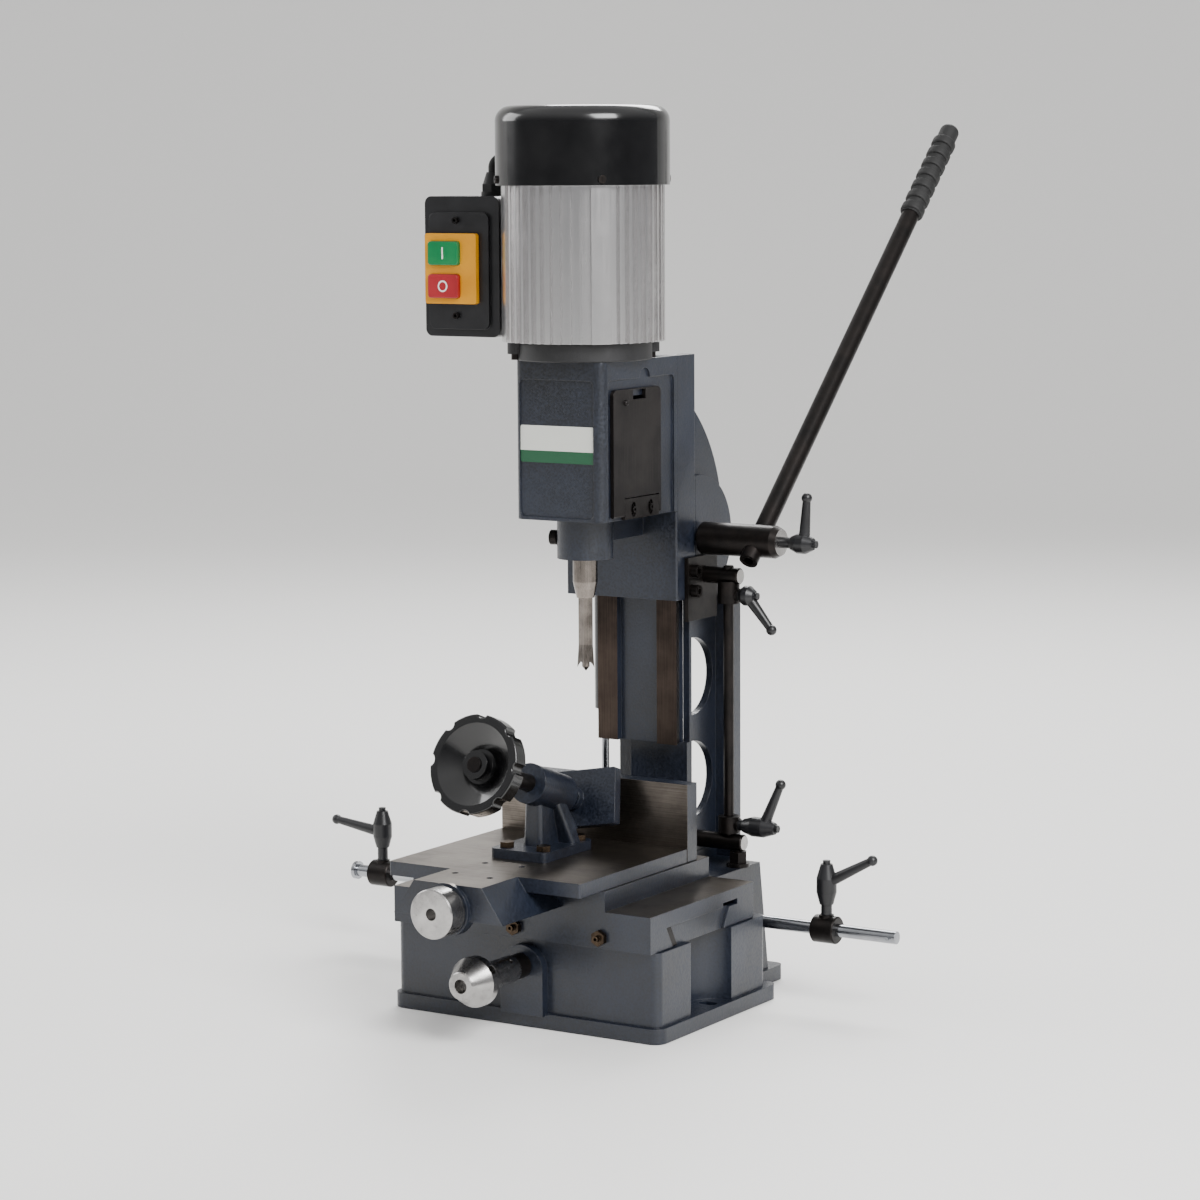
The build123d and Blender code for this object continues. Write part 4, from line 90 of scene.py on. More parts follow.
# floor in metres, along the view from under the camera: flat, then a quarter circle, then upright
FLOOR_NEAR, FLOOR_FAR, FLOOR_HALF = -9.0, 4.0, 12.0
SWEEP_RADIUS, SWEEP_STEPS, WALL_TOP = 3.0, 12, 12.0
FLOOR_DROP = 0.0005                     # keeps the floor off the base's underside

# area lights: place and size in metres, and share of the key light's power
LIGHTS = (
    ("key_light", (2.4, -1.2, 2.3), (1.6, 1.6), 1.0),
    ("fill_light", (-3.0, -0.5, 1.7), (1.6, 1.6), 0.30),
    ("back_light", (-0.8, 2.4, 2.4), (1.8, 1.0), 0.55),
)
LIT_AT = (0, 0, 0.42)                   # the machine's middle, which they all face

X, Z = 0, 2                             # axes that a metal's grain runs along


def linear(text, alpha=True):
    """An sRGB hex colour as linear numbers."""
    parts = [int(text[i:i + 2], 16) / 255 for i in (1, 3, 5)]
    made = [p / 12.92 if p <= 0.04045 else ((p + 0.055) / 1.055) ** 2.4 for p in parts]
    return (*made, 1.0) if alpha else tuple(made)


def add(tree, kind, how=None, feed=None, stops=()):
    """One node: how sets its properties, feed sets its inputs or links a socket to them, and stops
    are a ramp's places and hex colours."""
    made = tree.nodes.new(kind)
    for name, value in (how or {}).items():
        setattr(made, name, value)
    for name, value in (feed or {}).items():
        socket = made.inputs[name]
        if isinstance(value, bpy.types.NodeSocket):
            tree.links.new(value, socket)
        else:
            socket.default_value = value
    for i, (position, text) in enumerate(stops):
        element = made.color_ramp.elements[i]
        element.position = position
        element.color = linear(text)
    return made


def blank(name):
    """A new material's tree with its shader, its output and the piece's own coordinates."""
    material = bpy.data.materials.new(name)
    material.use_nodes = True
    tree = material.node_tree
    tree.nodes.clear()
    shader = add(tree, "ShaderNodeBsdfPrincipled")
    add(tree, "ShaderNodeOutputMaterial", feed={"Surface": shader.outputs["BSDF"]})
    place = add(tree, "ShaderNodeTexCoord").outputs["Object"]
    return material, tree, shader, place


def surface(tree, shader, colour, rough, normal=None, **more):
    """Links a finish's colour, roughness and normals to its shader, and sets its other inputs."""
    for name, socket in (("Base Color", colour), ("Roughness", rough), ("Normal", normal)):
        if socket is not None:
            tree.links.new(socket, shader.inputs[name])
    for name, value in more.items():
        shader.inputs[name.replace("_", " ")].default_value = value


# the middle half of a texture's numbers, which is spread over a finish's range of roughness
MIDDLE = {"From Min": 0.25, "From Max": 0.75}


# ------------------------------------------------------------------ materials
def hammertone_enamel(name, dark, light, cell_mm):
    """Hammertone enamel on cast iron: pooled paint in small cells, with bright rims."""
    material, tree, shader, place = blank(name)
    cells = add(
        tree, "ShaderNodeTexVoronoi", {"feature": "SMOOTH_F1"},
        {"Vector": place, "Scale": 1 / (cell_mm * MM), "Smoothness": 0.7, "Randomness": 1.0},
    ).outputs["Distance"]
    # sand-cast skin under the paint, about 9 mm from swell to swell
    skin = add(
        tree, "ShaderNodeTexNoise", feed={"Vector": place, "Scale": 1 / (9 * MM), "Detail": 3.0}
    ).outputs["Fac"]
    # the coat's thickness, which drifts over about 70 mm
    drift = add(
        tree, "ShaderNodeTexNoise", feed={"Vector": place, "Scale": 1 / (70 * MM), "Detail": 2.0}
    ).outputs["Fac"]
    mixed = add(
        tree, "ShaderNodeMath", {"operation": "MULTIPLY_ADD"}, {0: cells, 1: 0.55, 2: drift}
    ).outputs["Value"]
    colour = add(
        tree, "ShaderNodeValToRGB", feed={"Fac": mixed}, stops=((0.45, dark), (1.0, light))
    ).outputs["Color"]
    rough = add(
        tree, "ShaderNodeMapRange", feed={"Value": cells, **MIDDLE, "To Min": 0.30, "To Max": 0.46}
    ).outputs["Result"]
    rounded = add(tree, "ShaderNodeBevel", {"samples": 4}, {"Radius": 0.9 * MM}).outputs["Normal"]
    swell = add(
        tree, "ShaderNodeBump",
        feed={"Height": skin, "Strength": 0.25, "Distance": 0.5 * MM, "Normal": rounded},
    ).outputs["Normal"]
    bump = add(
        tree, "ShaderNodeBump",
        feed={"Height": cells, "Strength": 0.4, "Distance": 0.22 * MM, "Normal": swell},
    ).outputs["Normal"]
    surface(tree, shader, colour, rough, bump, Coat_Weight=0.2, Coat_Roughness=0.2)
    return material


def worked_metal(name, dark, light, grain_mm, along, rough, patch_mm, depth_mm, metallic=1.0):
    """Ground, drawn or turned metal: fine lines that run along one axis, over slow tarnish."""
    material, tree, shader, place = blank(name)
    stretch = [1 / (grain_mm * MM)] * 3
    if along is not None:
        stretch[along] /= 60.0      # a line is 60 times as long as it is wide
    lines = add(
        tree, "ShaderNodeMapping", {"vector_type": "POINT"}, {"Vector": place, "Scale": stretch}
    ).outputs["Vector"]
    grain = add(
        tree, "ShaderNodeTexNoise", feed={"Vector": lines, "Scale": 1.0, "Detail": 2.0}
    ).outputs["Fac"]
    tarnish = add(
        tree, "ShaderNodeTexNoise",
        feed={"Vector": place, "Scale": 1 / (patch_mm * MM), "Detail": 5.0, "Roughness": 0.62},
    ).outputs["Fac"]
    mixed = add(
        tree, "ShaderNodeMath", {"operation": "MULTIPLY_ADD"}, {0: grain, 1: 0.45, 2: tarnish}
    ).outputs["Value"]
    colour = add(
        tree, "ShaderNodeValToRGB", feed={"Fac": mixed}, stops=((0.5, dark), (0.95, light))
    ).outputs["Color"]
    sheen = add(
        tree, "ShaderNodeMapRange",
        feed={"Value": mixed, **MIDDLE, "To Min": rough + 0.08, "To Max": rough - 0.06},
    ).outputs["Result"]
    rounded = add(tree, "ShaderNodeBevel", {"samples": 4}, {"Radius": 0.4 * MM}).outputs["Normal"]
    bump = add(
        tree, "ShaderNodeBump",
        feed={"Height": grain, "Strength": 0.35, "Distance": depth_mm * MM, "Normal": rounded},
    ).outputs["Normal"]
    surface(tree, shader, colour, sheen, bump, Metallic=metallic)
    return material


def moulded(name, dark, light, grit_mm, rough, depth_mm, coat=0.0):
    """Moulded plastic or rubber: an even colour over a fine spark-eroded grain."""
    material, tree, shader, place = blank(name)
    grit = add(
        tree, "ShaderNodeTexNoise",
        feed={"Vector": place, "Scale": 1 / (grit_mm * MM), "Detail": 2.0, "Roughness": 0.5},
    ).outputs["Fac"]
    # wear from handling, in patches about 28 mm apart
    handled = add(
        tree, "ShaderNodeTexNoise", feed={"Vector": place, "Scale": 1 / (28 * MM), "Detail": 4.0}
    ).outputs["Fac"]
    colour = add(
        tree, "ShaderNodeValToRGB", feed={"Fac": handled}, stops=((0.3, dark), (0.7, light))
    ).outputs["Color"]
    sheen = add(
        tree, "ShaderNodeMapRange",
        feed={"Value": handled, **MIDDLE, "To Min": rough - 0.03, "To Max": rough + 0.06},
    ).outputs["Result"]
    rounded = add(tree, "ShaderNodeBevel", {"samples": 4}, {"Radius": 0.7 * MM}).outputs["Normal"]
    bump = add(
        tree, "ShaderNodeBump",
        feed={"Height": grit, "Strength": 0.3, "Distance": depth_mm * MM, "Normal": rounded},
    ).outputs["Normal"]
    surface(tree, shader, colour, sheen, bump, IOR=1.5, Coat_Weight=coat, Coat_Roughness=0.05)
    return material


def printed_plate(name, top, foot, split_mm):
    """Printed aluminium plate under clear lacquer: a light field over a green band."""
    material, tree, shader, place = blank(name)
    height = add(tree, "ShaderNodeSeparateXYZ", feed={"Vector": place}).outputs["Z"]
    above = add(
        tree, "ShaderNodeMath", {"operation": "GREATER_THAN"}, {0: height, 1: split_mm * MM}
    ).outputs["Value"]
    colour = add(
        tree, "ShaderNodeValToRGB", feed={"Fac": above}, stops=((0.4, foot), (0.6, top))
    ).outputs["Color"]
    print_grain = add(
        tree, "ShaderNodeTexNoise", feed={"Vector": place, "Scale": 1 / (1.2 * MM), "Detail": 2.0}
    ).outputs["Fac"]
    rough = add(
        tree, "ShaderNodeMapRange",
        feed={"Value": print_grain, **MIDDLE, "To Min": 0.28, "To Max": 0.36},
    ).outputs["Result"]
    surface(tree, shader, colour, rough, Coat_Weight=0.4)
    return material


FINISHES = {}


def make_finishes(settings):
    """All finishes, once."""
    if FINISHES:
        return
    FINISHES.update({
        "casting": hammertone_enamel(
            "hammertone_enamel_on_cast_iron",
            settings.enamel_dark, settings.enamel_light, settings.hammer_mm,
        ),
        # surface-ground cast iron: brown-grey, with the wheel's lines along X
        "ground_x": worked_metal(
            "surface_ground_cast_iron", "#554f49", "#8a827a",
            grain_mm=0.9, along=X, rough=0.36, patch_mm=60, depth_mm=0.03,
        ),
        # milled and ground steel, browned by oil, with lines up and down as on the ways
        "ground_z": worked_metal(
            "ground_steel_ways", "#2c2623", "#4b413b",
            grain_mm=0.8, along=Z, rough=0.42, patch_mm=60, depth_mm=0.03,
        ),
        # bright turned mild steel, zinc plated: cool and fine-grained
        "zinc": worked_metal(
            "zinc_plated_turned_steel", "#8d8b8a", "#c2c0be",
            grain_mm=0.6, along=None, rough=0.30, patch_mm=25, depth_mm=0.02,
        ),
        # browned steel: a thin warm oxide, in patches the size of a screw's head
        "browned": worked_metal(
            "browned_steel_screws", "#2b2520", "#57493b",
            grain_mm=0.6, along=None, rough=0.38, patch_mm=12, depth_mm=0.02,
        ),
        # black oxide: a thin dark layer that lets a little metal through
        "black": worked_metal(
            "black_oxide_steel", "#0d0c0c", "#241f1d",
            grain_mm=0.7, along=None, rough=0.42, patch_mm=18, depth_mm=0.02, metallic=0.75,
        ),
        # hard chrome, ground and polished: the smoothest of the steels, with sharp reflections
        "chrome": worked_metal(
            "hard_chrome_rod", "#84868a", "#b9bbbf",
            grain_mm=0.5, along=X, rough=0.22, patch_mm=60, depth_mm=0.004,
        ),
        # ground tool steel, a little warm from heat, with lines up and down
        "tool": worked_metal(
            "ground_tool_steel", "#4e4945", "#8e867f",
            grain_mm=0.5, along=Z, rough=0.26, patch_mm=25, depth_mm=0.02,
        ),
        # extruded aluminium: bright, with die lines up the fins
        "aluminium": worked_metal(
            "extruded_aluminium", "#cfcdcd", "#efeeee",
            grain_mm=1.1, along=Z, rough=0.27, patch_mm=80, depth_mm=0.02,
        ),
        # blued sheet steel: near black, with faint rolling lines up and down
        "door": worked_metal(
            "blued_sheet_steel", "#1e1c1c", "#34302f",
            grain_mm=1.0, along=Z, rough=0.42, patch_mm=50, depth_mm=0.02, metallic=0.8,
        ),
        # stacked electrical sheet: grey-brown, and dull where it is punched
        "stator": worked_metal(
            "electrical_sheet_steel", "#4b443e", "#7a7068",
            grain_mm=0.5, along=None, rough=0.45, patch_mm=10, depth_mm=0.05,
        ),
        # textured powder coat: a coarse grain that breaks every highlight up
        "textured": moulded(
            "textured_powder_coat", "#0c0c0d", "#19191b", grit_mm=1.1, rough=0.50, depth_mm=0.25
        ),
        # ABS from a polished mould: black, with a clear reflection
        "gloss_black": moulded(
            "gloss_black_abs", "#030304", "#070708",
            grit_mm=1.6, rough=0.18, depth_mm=0.01, coat=0.3,
        ),
        # ABS from a spark-eroded mould: a broad, soft highlight
        "satin_black": moulded(
            "satin_black_abs", "#0c0c0e", "#17171a", grit_mm=0.9, rough=0.34, depth_mm=0.05
        ),
        # nitrile rubber: matt, with no clear highlight
        "rubber": moulded(
            "black_nitrile_rubber", "#0b0b0b", "#161616", grit_mm=0.8, rough=0.62, depth_mm=0.08
        ),
        # ABS coloured right through: an even satin yellow, green and red
        "yellow": moulded(
            "yellow_abs", "#c98600", "#d99508", grit_mm=1.0, rough=0.34, depth_mm=0.03
        ),
        "green": moulded(
            "green_abs", "#006636", "#007a43", grit_mm=1.0, rough=0.30, depth_mm=0.03
        ),
        "red": moulded(
            "red_abs", "#8d141c", "#a3222a", grit_mm=1.0, rough=0.30, depth_mm=0.03
        ),
        # pad print: a thin coat of ink, flat white and a little rough
        "white_ink": moulded(
            "white_pad_print", "#e2e2de", "#f2f2ee", grit_mm=1.0, rough=0.45, depth_mm=0.01
        ),
        "plate": printed_plate("printed_aluminium_plate", "#c9cbc4", "#0d4a2c", BAND_TOP),
    })


def dress(node, finish, rules=()):
    """Gives a CAD node its finish.

    A rule is a finish and a test of a face's middle, in millimetres, and of its normal.
    """
    mesh = NODES[node].data
    mesh.materials.clear()
    mesh.materials.append(FINISHES[finish])
    for name, _ in rules:
        mesh.materials.append(FINISHES[name])
    for face in mesh.polygons:
        middle, normal = face.center / MM, face.normal
        face.material_index = next(
            (i + 1 for i, (_, fits) in enumerate(rules) if fits(middle, normal)), 0
        )


def dress_all(finishes):
    """Gives each CAD node its one finish."""
    for node, finish in finishes.items():
        dress(node, finish)


def shown(name, body, bm, finish, at):
    """A finished new piece, made from a bmesh in millimetres, riding on a body."""
    mesh = bpy.data.meshes.new(name)
    bmesh.ops.transform(bm, matrix=at, verts=bm.verts)
    bmesh.ops.scale(bm, vec=(MM, MM, MM), verts=bm.verts)
    bmesh.ops.recalc_face_normals(bm, faces=bm.faces)
    bm.to_mesh(mesh)
    bm.free()
    piece = bpy.data.objects.new(name, mesh)
    bpy.context.scene.collection.objects.link(piece)
    mesh.materials.append(FINISHES[finish])
    for face in mesh.polygons:
        face.use_smooth = True
    mesh.set_sharp_from_angle(angle=math.radians(CREASE))
    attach(piece, body)
    return piece


def rounded_slab(width, height, thick, radius, steps=6):
    """A slab with rounded corners, standing in XZ, its front at Y 0 and its back at +Y."""
    bm = bmesh.new()
    ring = []
    for cx, cz, start in (
        (1, 1, 0), (-1, 1, 90), (-1, -1, 180), (1, -1, 270)
    ):
        for step in range(steps + 1):
            angle = math.radians(start + 90 * step / steps)
            ring.append((
                cx * (width / 2 - radius) + radius * math.cos(angle),
                cz * (height / 2 - radius) + radius * math.sin(angle),
            ))
    front = bm.faces.new([bm.verts.new((x, 0, z)) for x, z in ring])
    back = bmesh.ops.extrude_face_region(bm, geom=[front])
    moved = [v for v in back["geom"] if isinstance(v, bmesh.types.BMVert)]
    bmesh.ops.translate(bm, vec=(0, thick, 0), verts=moved)
    rim = [e for e in bm.edges if all(abs(v.co.y) < 1e-6 for v in e.verts)]
    bmesh.ops.bevel(bm, geom=rim, offset=min(EDGE_ROUND, thick / 3), segments=2, affect="EDGES")
    return bm


def flat_ring(outer, inner, thick, steps=40):
    """A flat ring standing in XZ, its front at Y 0."""
    bm = bmesh.new()
    rows = [
        [bm.verts.new((r * math.cos(a), y, r * math.sin(a)))
         for a in (2 * math.pi * i / steps for i in range(steps))]
        for r, y in ((outer, thick), (outer, 0), (inner, 0), (inner, thick))
    ]
    for one, two in zip(rows, rows[1:] + rows[:1]):
        for i in range(steps):
            j = (i + 1) % steps
            bm.faces.new((one[i], one[j], two[j], two[i]))
    return bm


# ------------------------------------------------------------------ machined faces
def rail_face(middle, normal):
    """The base's dovetail rail, apart from its two ends."""
    return (
        RAIL_LOW < middle.z < RAIL_HIGH and abs(middle.x) < RAIL_HALF
        and middle.y < FENCE_Y + RAIL_BACK and abs(normal.x) < HALFWAY
    )


def slab_top(middle, normal):
    """The saddle's top."""
    return normal.z > FACING and middle.z > SLAB_LEVEL


def way_front(middle, normal):
    """The front of the column's ways."""
    return middle.z > WAYS_LOW and middle.y < FENCE_Y + WAYS_FRONT and normal.y < -FACING


def way_flank(middle, normal):
    """The dovetail flanks of the column's ways, which lean to the back."""
    return (
        middle.z > WAYS_LOW and middle.y < FENCE_Y + WAYS_BACK
        and abs(normal.x) > MOSTLY and normal.y > LEANING
    )


def table_top(middle, normal):
    """The table's top."""
    return normal.z > FACING and middle.z > TABLE_LEVEL


def fence_front(middle, normal):
    """The face that the work is held against."""
    return normal.y < -FACING and middle.y < FENCE_Y + FENCE_SKIN


def right_end(middle, normal):
    """A bar's sawn right end, left as bare steel."""
    return normal.x > SQUARE


def stop_bar_end(middle, normal):
    """The same end of the stop bracket's bar, apart from the bracket's own right face."""
    return right_end(middle, normal) and middle.x > STOP_BAR_END


# ------------------------------------------------------------------ properties
class MORTISER_PG_look(bpy.types.PropertyGroup):
    enamel_dark: bpy.props.StringProperty(
        name="Enamel, pooled", description="Hex colour of the enamel where it pools",
        default="#0a0d14",
    )
    enamel_light: bpy.props.StringProperty(
        name="Enamel, rims", description="Hex colour of the enamel on the rims of its cells",
        default="#1b212e",
    )
    hammer_mm: bpy.props.FloatProperty(
        name="Hammer cell", description="Width of one hammertone cell in millimetres",
        default=2.2, min=0.5, max=8.0,
    )
    label_wide: bpy.props.FloatProperty(
        name="Plate width", description="Width of the blank front plate in millimetres",
        default=80.0, min=20.0, max=84.0,
    )
    label_high: bpy.props.FloatProperty(
        name="Plate height", description="Height of the blank front plate in millimetres",
        default=34.0, min=10.0, max=60.0,
    )
    floor_colour: bpy.props.FloatVectorProperty(
        name="Floor", description="Colour of the floor", subtype="COLOR", size=3,
        default=linear("#f6f5f3", alpha=False), min=0.0, max=1.0,
    )
    key_power: bpy.props.FloatProperty(
        name="Key light", description="Power of the main soft light", default=150.0,
        min=0.0, max=2000.0, subtype="POWER", unit="POWER",
    )
    sky_strength: bpy.props.FloatProperty(
        name="Ceiling", description="Brightness of the ceiling and walls",
        default=1.05, min=0.0, max=5.0,
    )


def look():
    """The scene's settings."""
    return bpy.context.scene.mortiser


# ------------------------------------------------------------------ operators
class MORTISER_OT_castings(bpy.types.Operator):
    """Enamelled castings, with their ground faces"""
    bl_idname = "mortiser.castings"
    bl_label = "Castings"

    def execute(self, context):
        make_finishes(look())
        dress("base_casting", "casting", [("ground_x", rail_face)])
        dress("saddle_casting", "casting", [("ground_x", slab_top)])
        dress("column", "casting", [("ground_z", way_front), ("ground_z", way_flank)])
        dress_all({"head_casting": "casting", "clamp_bracket": "casting", "clamp_pad": "casting"})
        return {"FINISHED"}


class MORTISER_OT_table(bpy.types.Operator):
    """Table, fence, gibs and their screws"""
    bl_idname = "mortiser.table"
    bl_label = "Table"

    def execute(self, context):
        dress("table", "casting", [("ground_x", table_top)])
        dress("fence", "casting", [("ground_x", fence_front)])
        dress_all({
            "saddle_gib": "black", "head_gib": "ground_z",
            "gib_screws": "browned", "clamp_bolts": "browned",
        })
        return {"FINISHED"}


class MORTISER_OT_motor(bpy.types.Operator):
    """Motor, its fan cover and what turns inside"""
    bl_idname = "mortiser.motor"
    bl_label = "Motor"

    def execute(self, context):
        dress_all({
            "motor_flange": "textured", "motor_housing": "aluminium", "stator_core": "stator",
            "fan_cover": "gloss_black", "cover_screws": "black", "flange_bolts": "black",
            "rotor_shaft": "zinc", "cooling_fan": "satin_black", "drill_chuck": "tool",
            "motor_cable": "rubber", "cable_gland": "rubber",
        })
        return {"FINISHED"}


class MORTISER_OT_switch(bpy.types.Operator):
    """Switch box, its yellow plate and two marked buttons"""
    bl_idname = "mortiser.switch"
    bl_label = "Switch"

    def execute(self, context):
        dress_all({
            "switch_box": "satin_black", "switch_plate": "yellow",
            "start_button": "green", "stop_button": "red",
        })
        # generic marks in pad print: a bar on the green key, a ring on the red
        bar = rounded_slab(BAR_WIDE, BAR_HIGH, MARK_THICK, BAR_CORNER)
        ring = flat_ring(RING_OUTER, RING_INNER, MARK_THICK)
        for name, body, node, bm in (
            ("start_mark", "start_key", "start_button", bar),
            ("stop_mark", "stop_key", "stop_button", ring),
        ):
            low, high = (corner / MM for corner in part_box(node))
            middle = (low + high) / 2
            at = Matrix.Translation((middle.x, low.y - MARK_PROUD, middle.z))
            mark = shown(name, body, bm, "white_ink", at)
        return {"FINISHED"}


class MORTISER_OT_head(bpy.types.Operator):
    """Doors, hinge leaves, chisel and the small steel of the head"""
    bl_idname = "mortiser.head"
    bl_label = "Head"

    def execute(self, context):
        dress_all({
            "head_rack": "zinc", "head_screws": "black", "hinge_leaves": "door",
            "left_door": "door", "right_door": "door", "chisel_bush": "tool",
            "hollow_chisel": "tool", "auger_bit": "tool",
            "upper_collar": "black", "strut_tube": "gloss_black", "strut_rod": "chrome",
        })
        dress("stop_bracket", "black", [("zinc", stop_bar_end)])
        return {"FINISHED"}


class MORTISER_OT_lever(bpy.types.Operator):
    """Feed lever with its hub and grip, and the clamping levers"""
    bl_idname = "mortiser.lever"
    bl_label = "Lever"

    def execute(self, context):
        dress_all({
            "lever_bar": "black", "lever_grip": "rubber",
            "hub_lever": "satin_black", "upper_lever": "satin_black", "depth_lever": "satin_black",
            "left_stop_lever": "satin_black", "right_stop_lever": "satin_black",
        })
        dress("pinion_shaft", "black", [("zinc", right_end)])
        return {"FINISHED"}


class MORTISER_OT_stops(bpy.types.Operator):
    """Depth stop, travel stops and the bolts of the base"""
    bl_idname = "mortiser.stops"
    bl_label = "Stops"

    def execute(self, context):
        dress_all({
            "depth_rod": "black", "depth_collar": "black",
            "left_stop_collar": "black", "right_stop_collar": "black",
            "stop_rod": "chrome", "base_bolts": "black",
        })
        dress("rod_foot_bar", "black", [("zinc", right_end)])
        return {"FINISHED"}


class MORTISER_OT_feeds(bpy.types.Operator):
    """Feed hubs, racks and the work clamp's screw and wheel"""
    bl_idname = "mortiser.feeds"
    bl_label = "Feeds"

    def execute(self, context):
        dress_all({
            "x_feed_hub": "zinc", "x_feed_shaft": "black", "saddle_rack": "zinc",
            "y_feed_screw": "zinc", "clamp_screw": "black", "handwheel": "gloss_black",
        })
        return {"FINISHED"}


class MORTISER_OT_plate(bpy.types.Operator):
    """Blank printed plate on the front of the head"""
    bl_idname = "mortiser.plate"
    bl_label = "Front plate"

    def execute(self, context):
        settings = look()
        low, _ = (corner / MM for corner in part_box("head_casting"))
        # the cast recess in the head's front is 2 mm deep, and the plate lies in it
        at = Matrix.Translation((PLATE_X, low.y + PLATE_IN, PLATE_Z))
        slab = rounded_slab(settings.label_wide, settings.label_high, PLATE_THICK, PLATE_CORNER)
        plate = shown("front_plate", "head", slab, "plate", at)
        return {"FINISHED"}


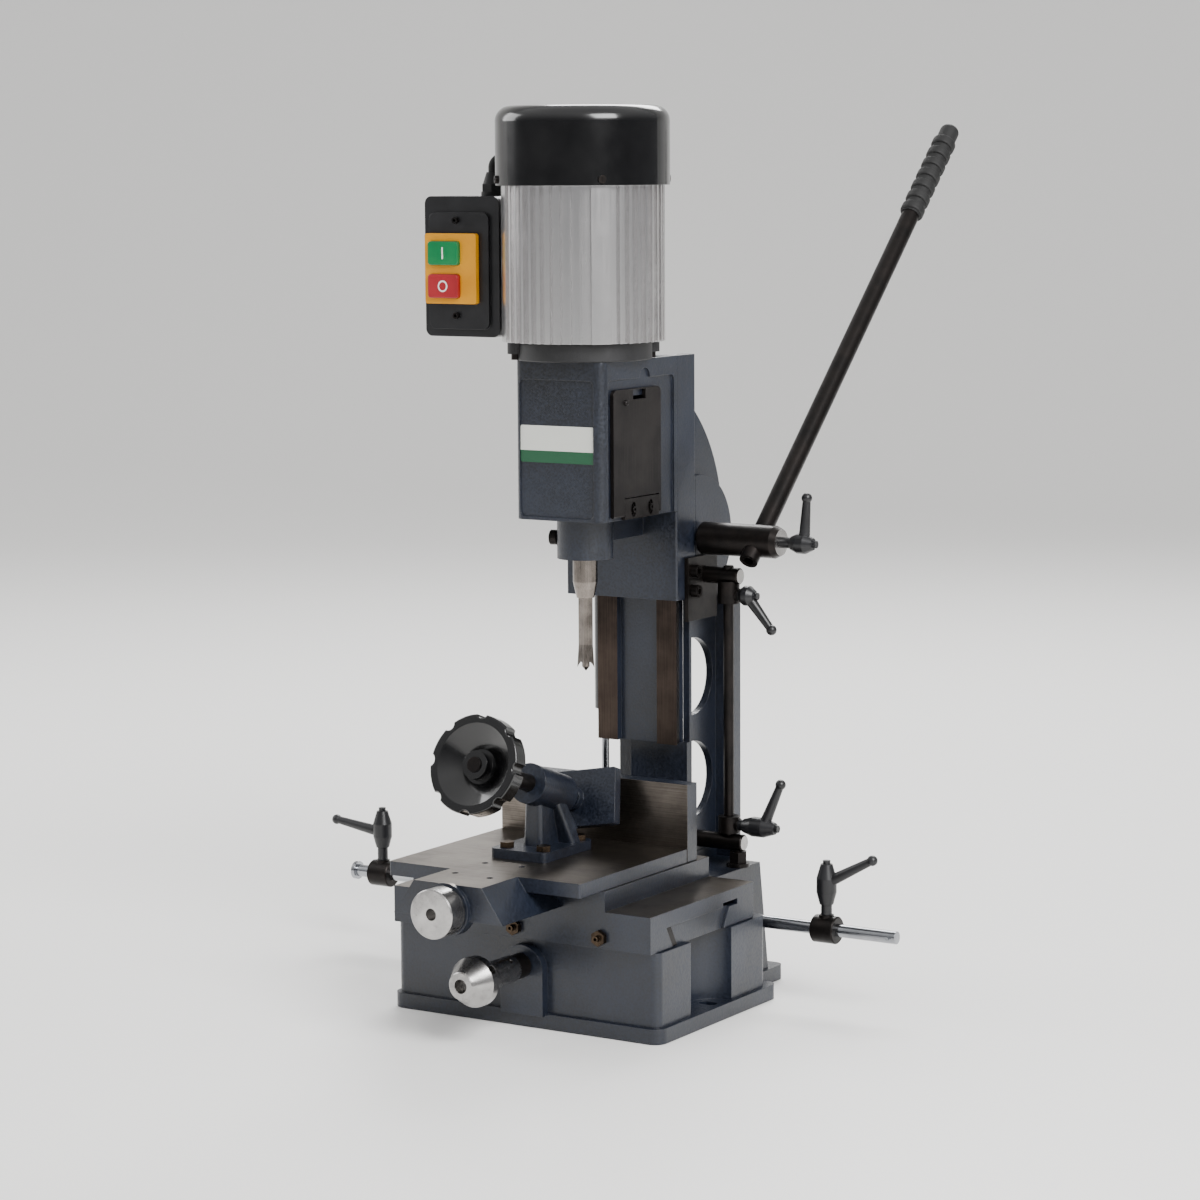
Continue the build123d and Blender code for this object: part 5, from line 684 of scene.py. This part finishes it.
class MORTISER_OT_stage(bpy.types.Operator):
    """Pale floor, soft lights and the camera"""
    bl_idname = "mortiser.stage"
    bl_label = "Stage"

    def execute(self, context):
        scene, settings = context.scene, look()
        right, ahead = self.put_camera(scene)
        self.lay_floor(scene, right, Vector((ahead.x, ahead.y, 0)).normalized(), settings)
        self.hang_lights(scene, settings)
        return {"FINISHED"}

    def put_camera(self, scene):
        """The photograph's camera. Gives its level right and its line of sight."""
        camera = bpy.data.objects.new("camera", bpy.data.cameras.new("camera"))
        scene.collection.objects.link(camera)
        camera.data.lens, camera.data.sensor_width = CAMERA_LENS, CAMERA_FRAME
        camera.data.clip_start, camera.data.clip_end = 0.1, 100.0
        turn, drop, roll = (math.radians(a) for a in (CAMERA_TURN, CAMERA_DROP, CAMERA_ROLL))
        right = Vector((math.cos(turn), math.sin(turn), 0))
        ahead = Vector((
            -math.sin(turn) * math.cos(drop), math.cos(turn) * math.cos(drop), -math.sin(drop)
        ))
        down = ahead.cross(right)
        across = math.cos(roll) * right + math.sin(roll) * down
        under = -math.sin(roll) * right + math.cos(roll) * down
        axes = Matrix((across, -under, -ahead)).transposed()
        place = (Vector(CAMERA_AT) + Vector((0, FENCE_Y, 0))) * MM
        camera.matrix_world = Matrix.Translation(place) @ axes.to_4x4()
        scene.camera = camera
        return right, ahead

    def lay_floor(self, scene, right, away, settings):
        """A painted sweep across the view: flat, then a quarter circle, then upright."""
        bm = bmesh.new()
        profile = [(FLOOR_NEAR, 0.0), (FLOOR_FAR, 0.0)]
        for step in range(1, SWEEP_STEPS + 1):
            angle = math.radians(90 * step / SWEEP_STEPS)
            profile.append((
                FLOOR_FAR + SWEEP_RADIUS * math.sin(angle),
                SWEEP_RADIUS - SWEEP_RADIUS * math.cos(angle),
            ))
        profile.append((FLOOR_FAR + SWEEP_RADIUS, WALL_TOP))
        rows = [
            [bm.verts.new(side * right + Vector((0, 0, z)) + along * away)
             for side in (-FLOOR_HALF, FLOOR_HALF)]
            for along, z in profile
        ]
        for one, two in zip(rows, rows[1:]):
            bm.faces.new((one[0], one[1], two[1], two[0])).smooth = True
        mesh = bpy.data.meshes.new("floor")
        bm.to_mesh(mesh)
        bm.free()
        floor = bpy.data.objects.new("floor", mesh)
        scene.collection.objects.link(floor)
        floor.location.z = -FLOOR_DROP
        # matt paint on a screed: pale, with a slight unevenness in its sheen
        material, tree, shader, place = blank("pale_painted_floor")
        specks = add(
            tree, "ShaderNodeTexNoise", feed={"Vector": place, "Scale": 1 / (4 * MM), "Detail": 3.0}
        ).outputs["Fac"]
        rough = add(
            tree, "ShaderNodeMapRange",
            feed={"Value": specks, **MIDDLE, "To Min": 0.55, "To Max": 0.65},
        ).outputs["Result"]
        surface(tree, shader, None, rough, Base_Color=(*settings.floor_colour, 1.0))
        mesh.materials.append(material)

    def hang_lights(self, scene, settings):
        """Dim walls under a bright ceiling, so that gloss black stays black, and three lights."""
        world = bpy.data.worlds.new("studio")
        world.use_nodes = True
        sky = world.node_tree
        around = add(sky, "ShaderNodeTexCoord").outputs["Generated"]
        upward = add(sky, "ShaderNodeSeparateXYZ", feed={"Vector": around}).outputs["Z"]
        tone = add(
            sky, "ShaderNodeValToRGB", feed={"Fac": upward},
            stops=((0.05, "#77787b"), (0.75, "#ffffff")),
        ).outputs["Color"]
        background = sky.nodes["Background"].inputs
        sky.links.new(tone, background["Color"])
        background["Strength"].default_value = settings.sky_strength
        scene.world = world
        for name, at, size, share in LIGHTS:
            lamp = bpy.data.lights.new(name, "AREA")
            lamp.shape, lamp.energy = "RECTANGLE", settings.key_power * share
            lamp.size, lamp.size_y = size
            holder = bpy.data.objects.new(name, lamp)
            scene.collection.objects.link(holder)
            holder.location = at
            aim = Vector(LIT_AT) - Vector(at)
            holder.rotation_euler = aim.to_track_quat("-Z", "Y").to_euler()


class MORTISER_PT_panel(bpy.types.Panel):
    """Lists the mortiser's pieces and settings"""
    bl_idname = "MORTISER_PT_panel"
    bl_label = "Mortiser"
    bl_space_type = "VIEW_3D"
    bl_region_type = "UI"
    bl_category = "Mortiser"

    def draw(self, context):
        for name in MORTISER_PG_look.__annotations__:
            self.layout.prop(context.scene.mortiser, name)
        for operator in OPERATORS:
            self.layout.operator(operator.bl_idname)


OPERATORS = (
    MORTISER_OT_castings, MORTISER_OT_table, MORTISER_OT_motor, MORTISER_OT_switch,
    MORTISER_OT_head, MORTISER_OT_lever, MORTISER_OT_stops, MORTISER_OT_feeds,
    MORTISER_OT_plate, MORTISER_OT_stage,
)
CLASSES = (MORTISER_PG_look, *OPERATORS, MORTISER_PT_panel)


def register():
    for cls in CLASSES:
        bpy.utils.register_class(cls)
    bpy.types.Scene.mortiser = bpy.props.PointerProperty(type=MORTISER_PG_look)


def unregister():
    del bpy.types.Scene.mortiser
    for cls in reversed(CLASSES):
        bpy.utils.unregister_class(cls)


def main():
    """Builds everything."""
    register()
    bpy.ops.mortiser.castings()
    bpy.ops.mortiser.table()
    bpy.ops.mortiser.motor()
    bpy.ops.mortiser.switch()
    bpy.ops.mortiser.head()
    bpy.ops.mortiser.lever()
    bpy.ops.mortiser.stops()
    bpy.ops.mortiser.feeds()
    bpy.ops.mortiser.plate()
    bpy.ops.mortiser.stage()
    bpy.context.view_layer.update()


if __name__ == "__main__":
    main()
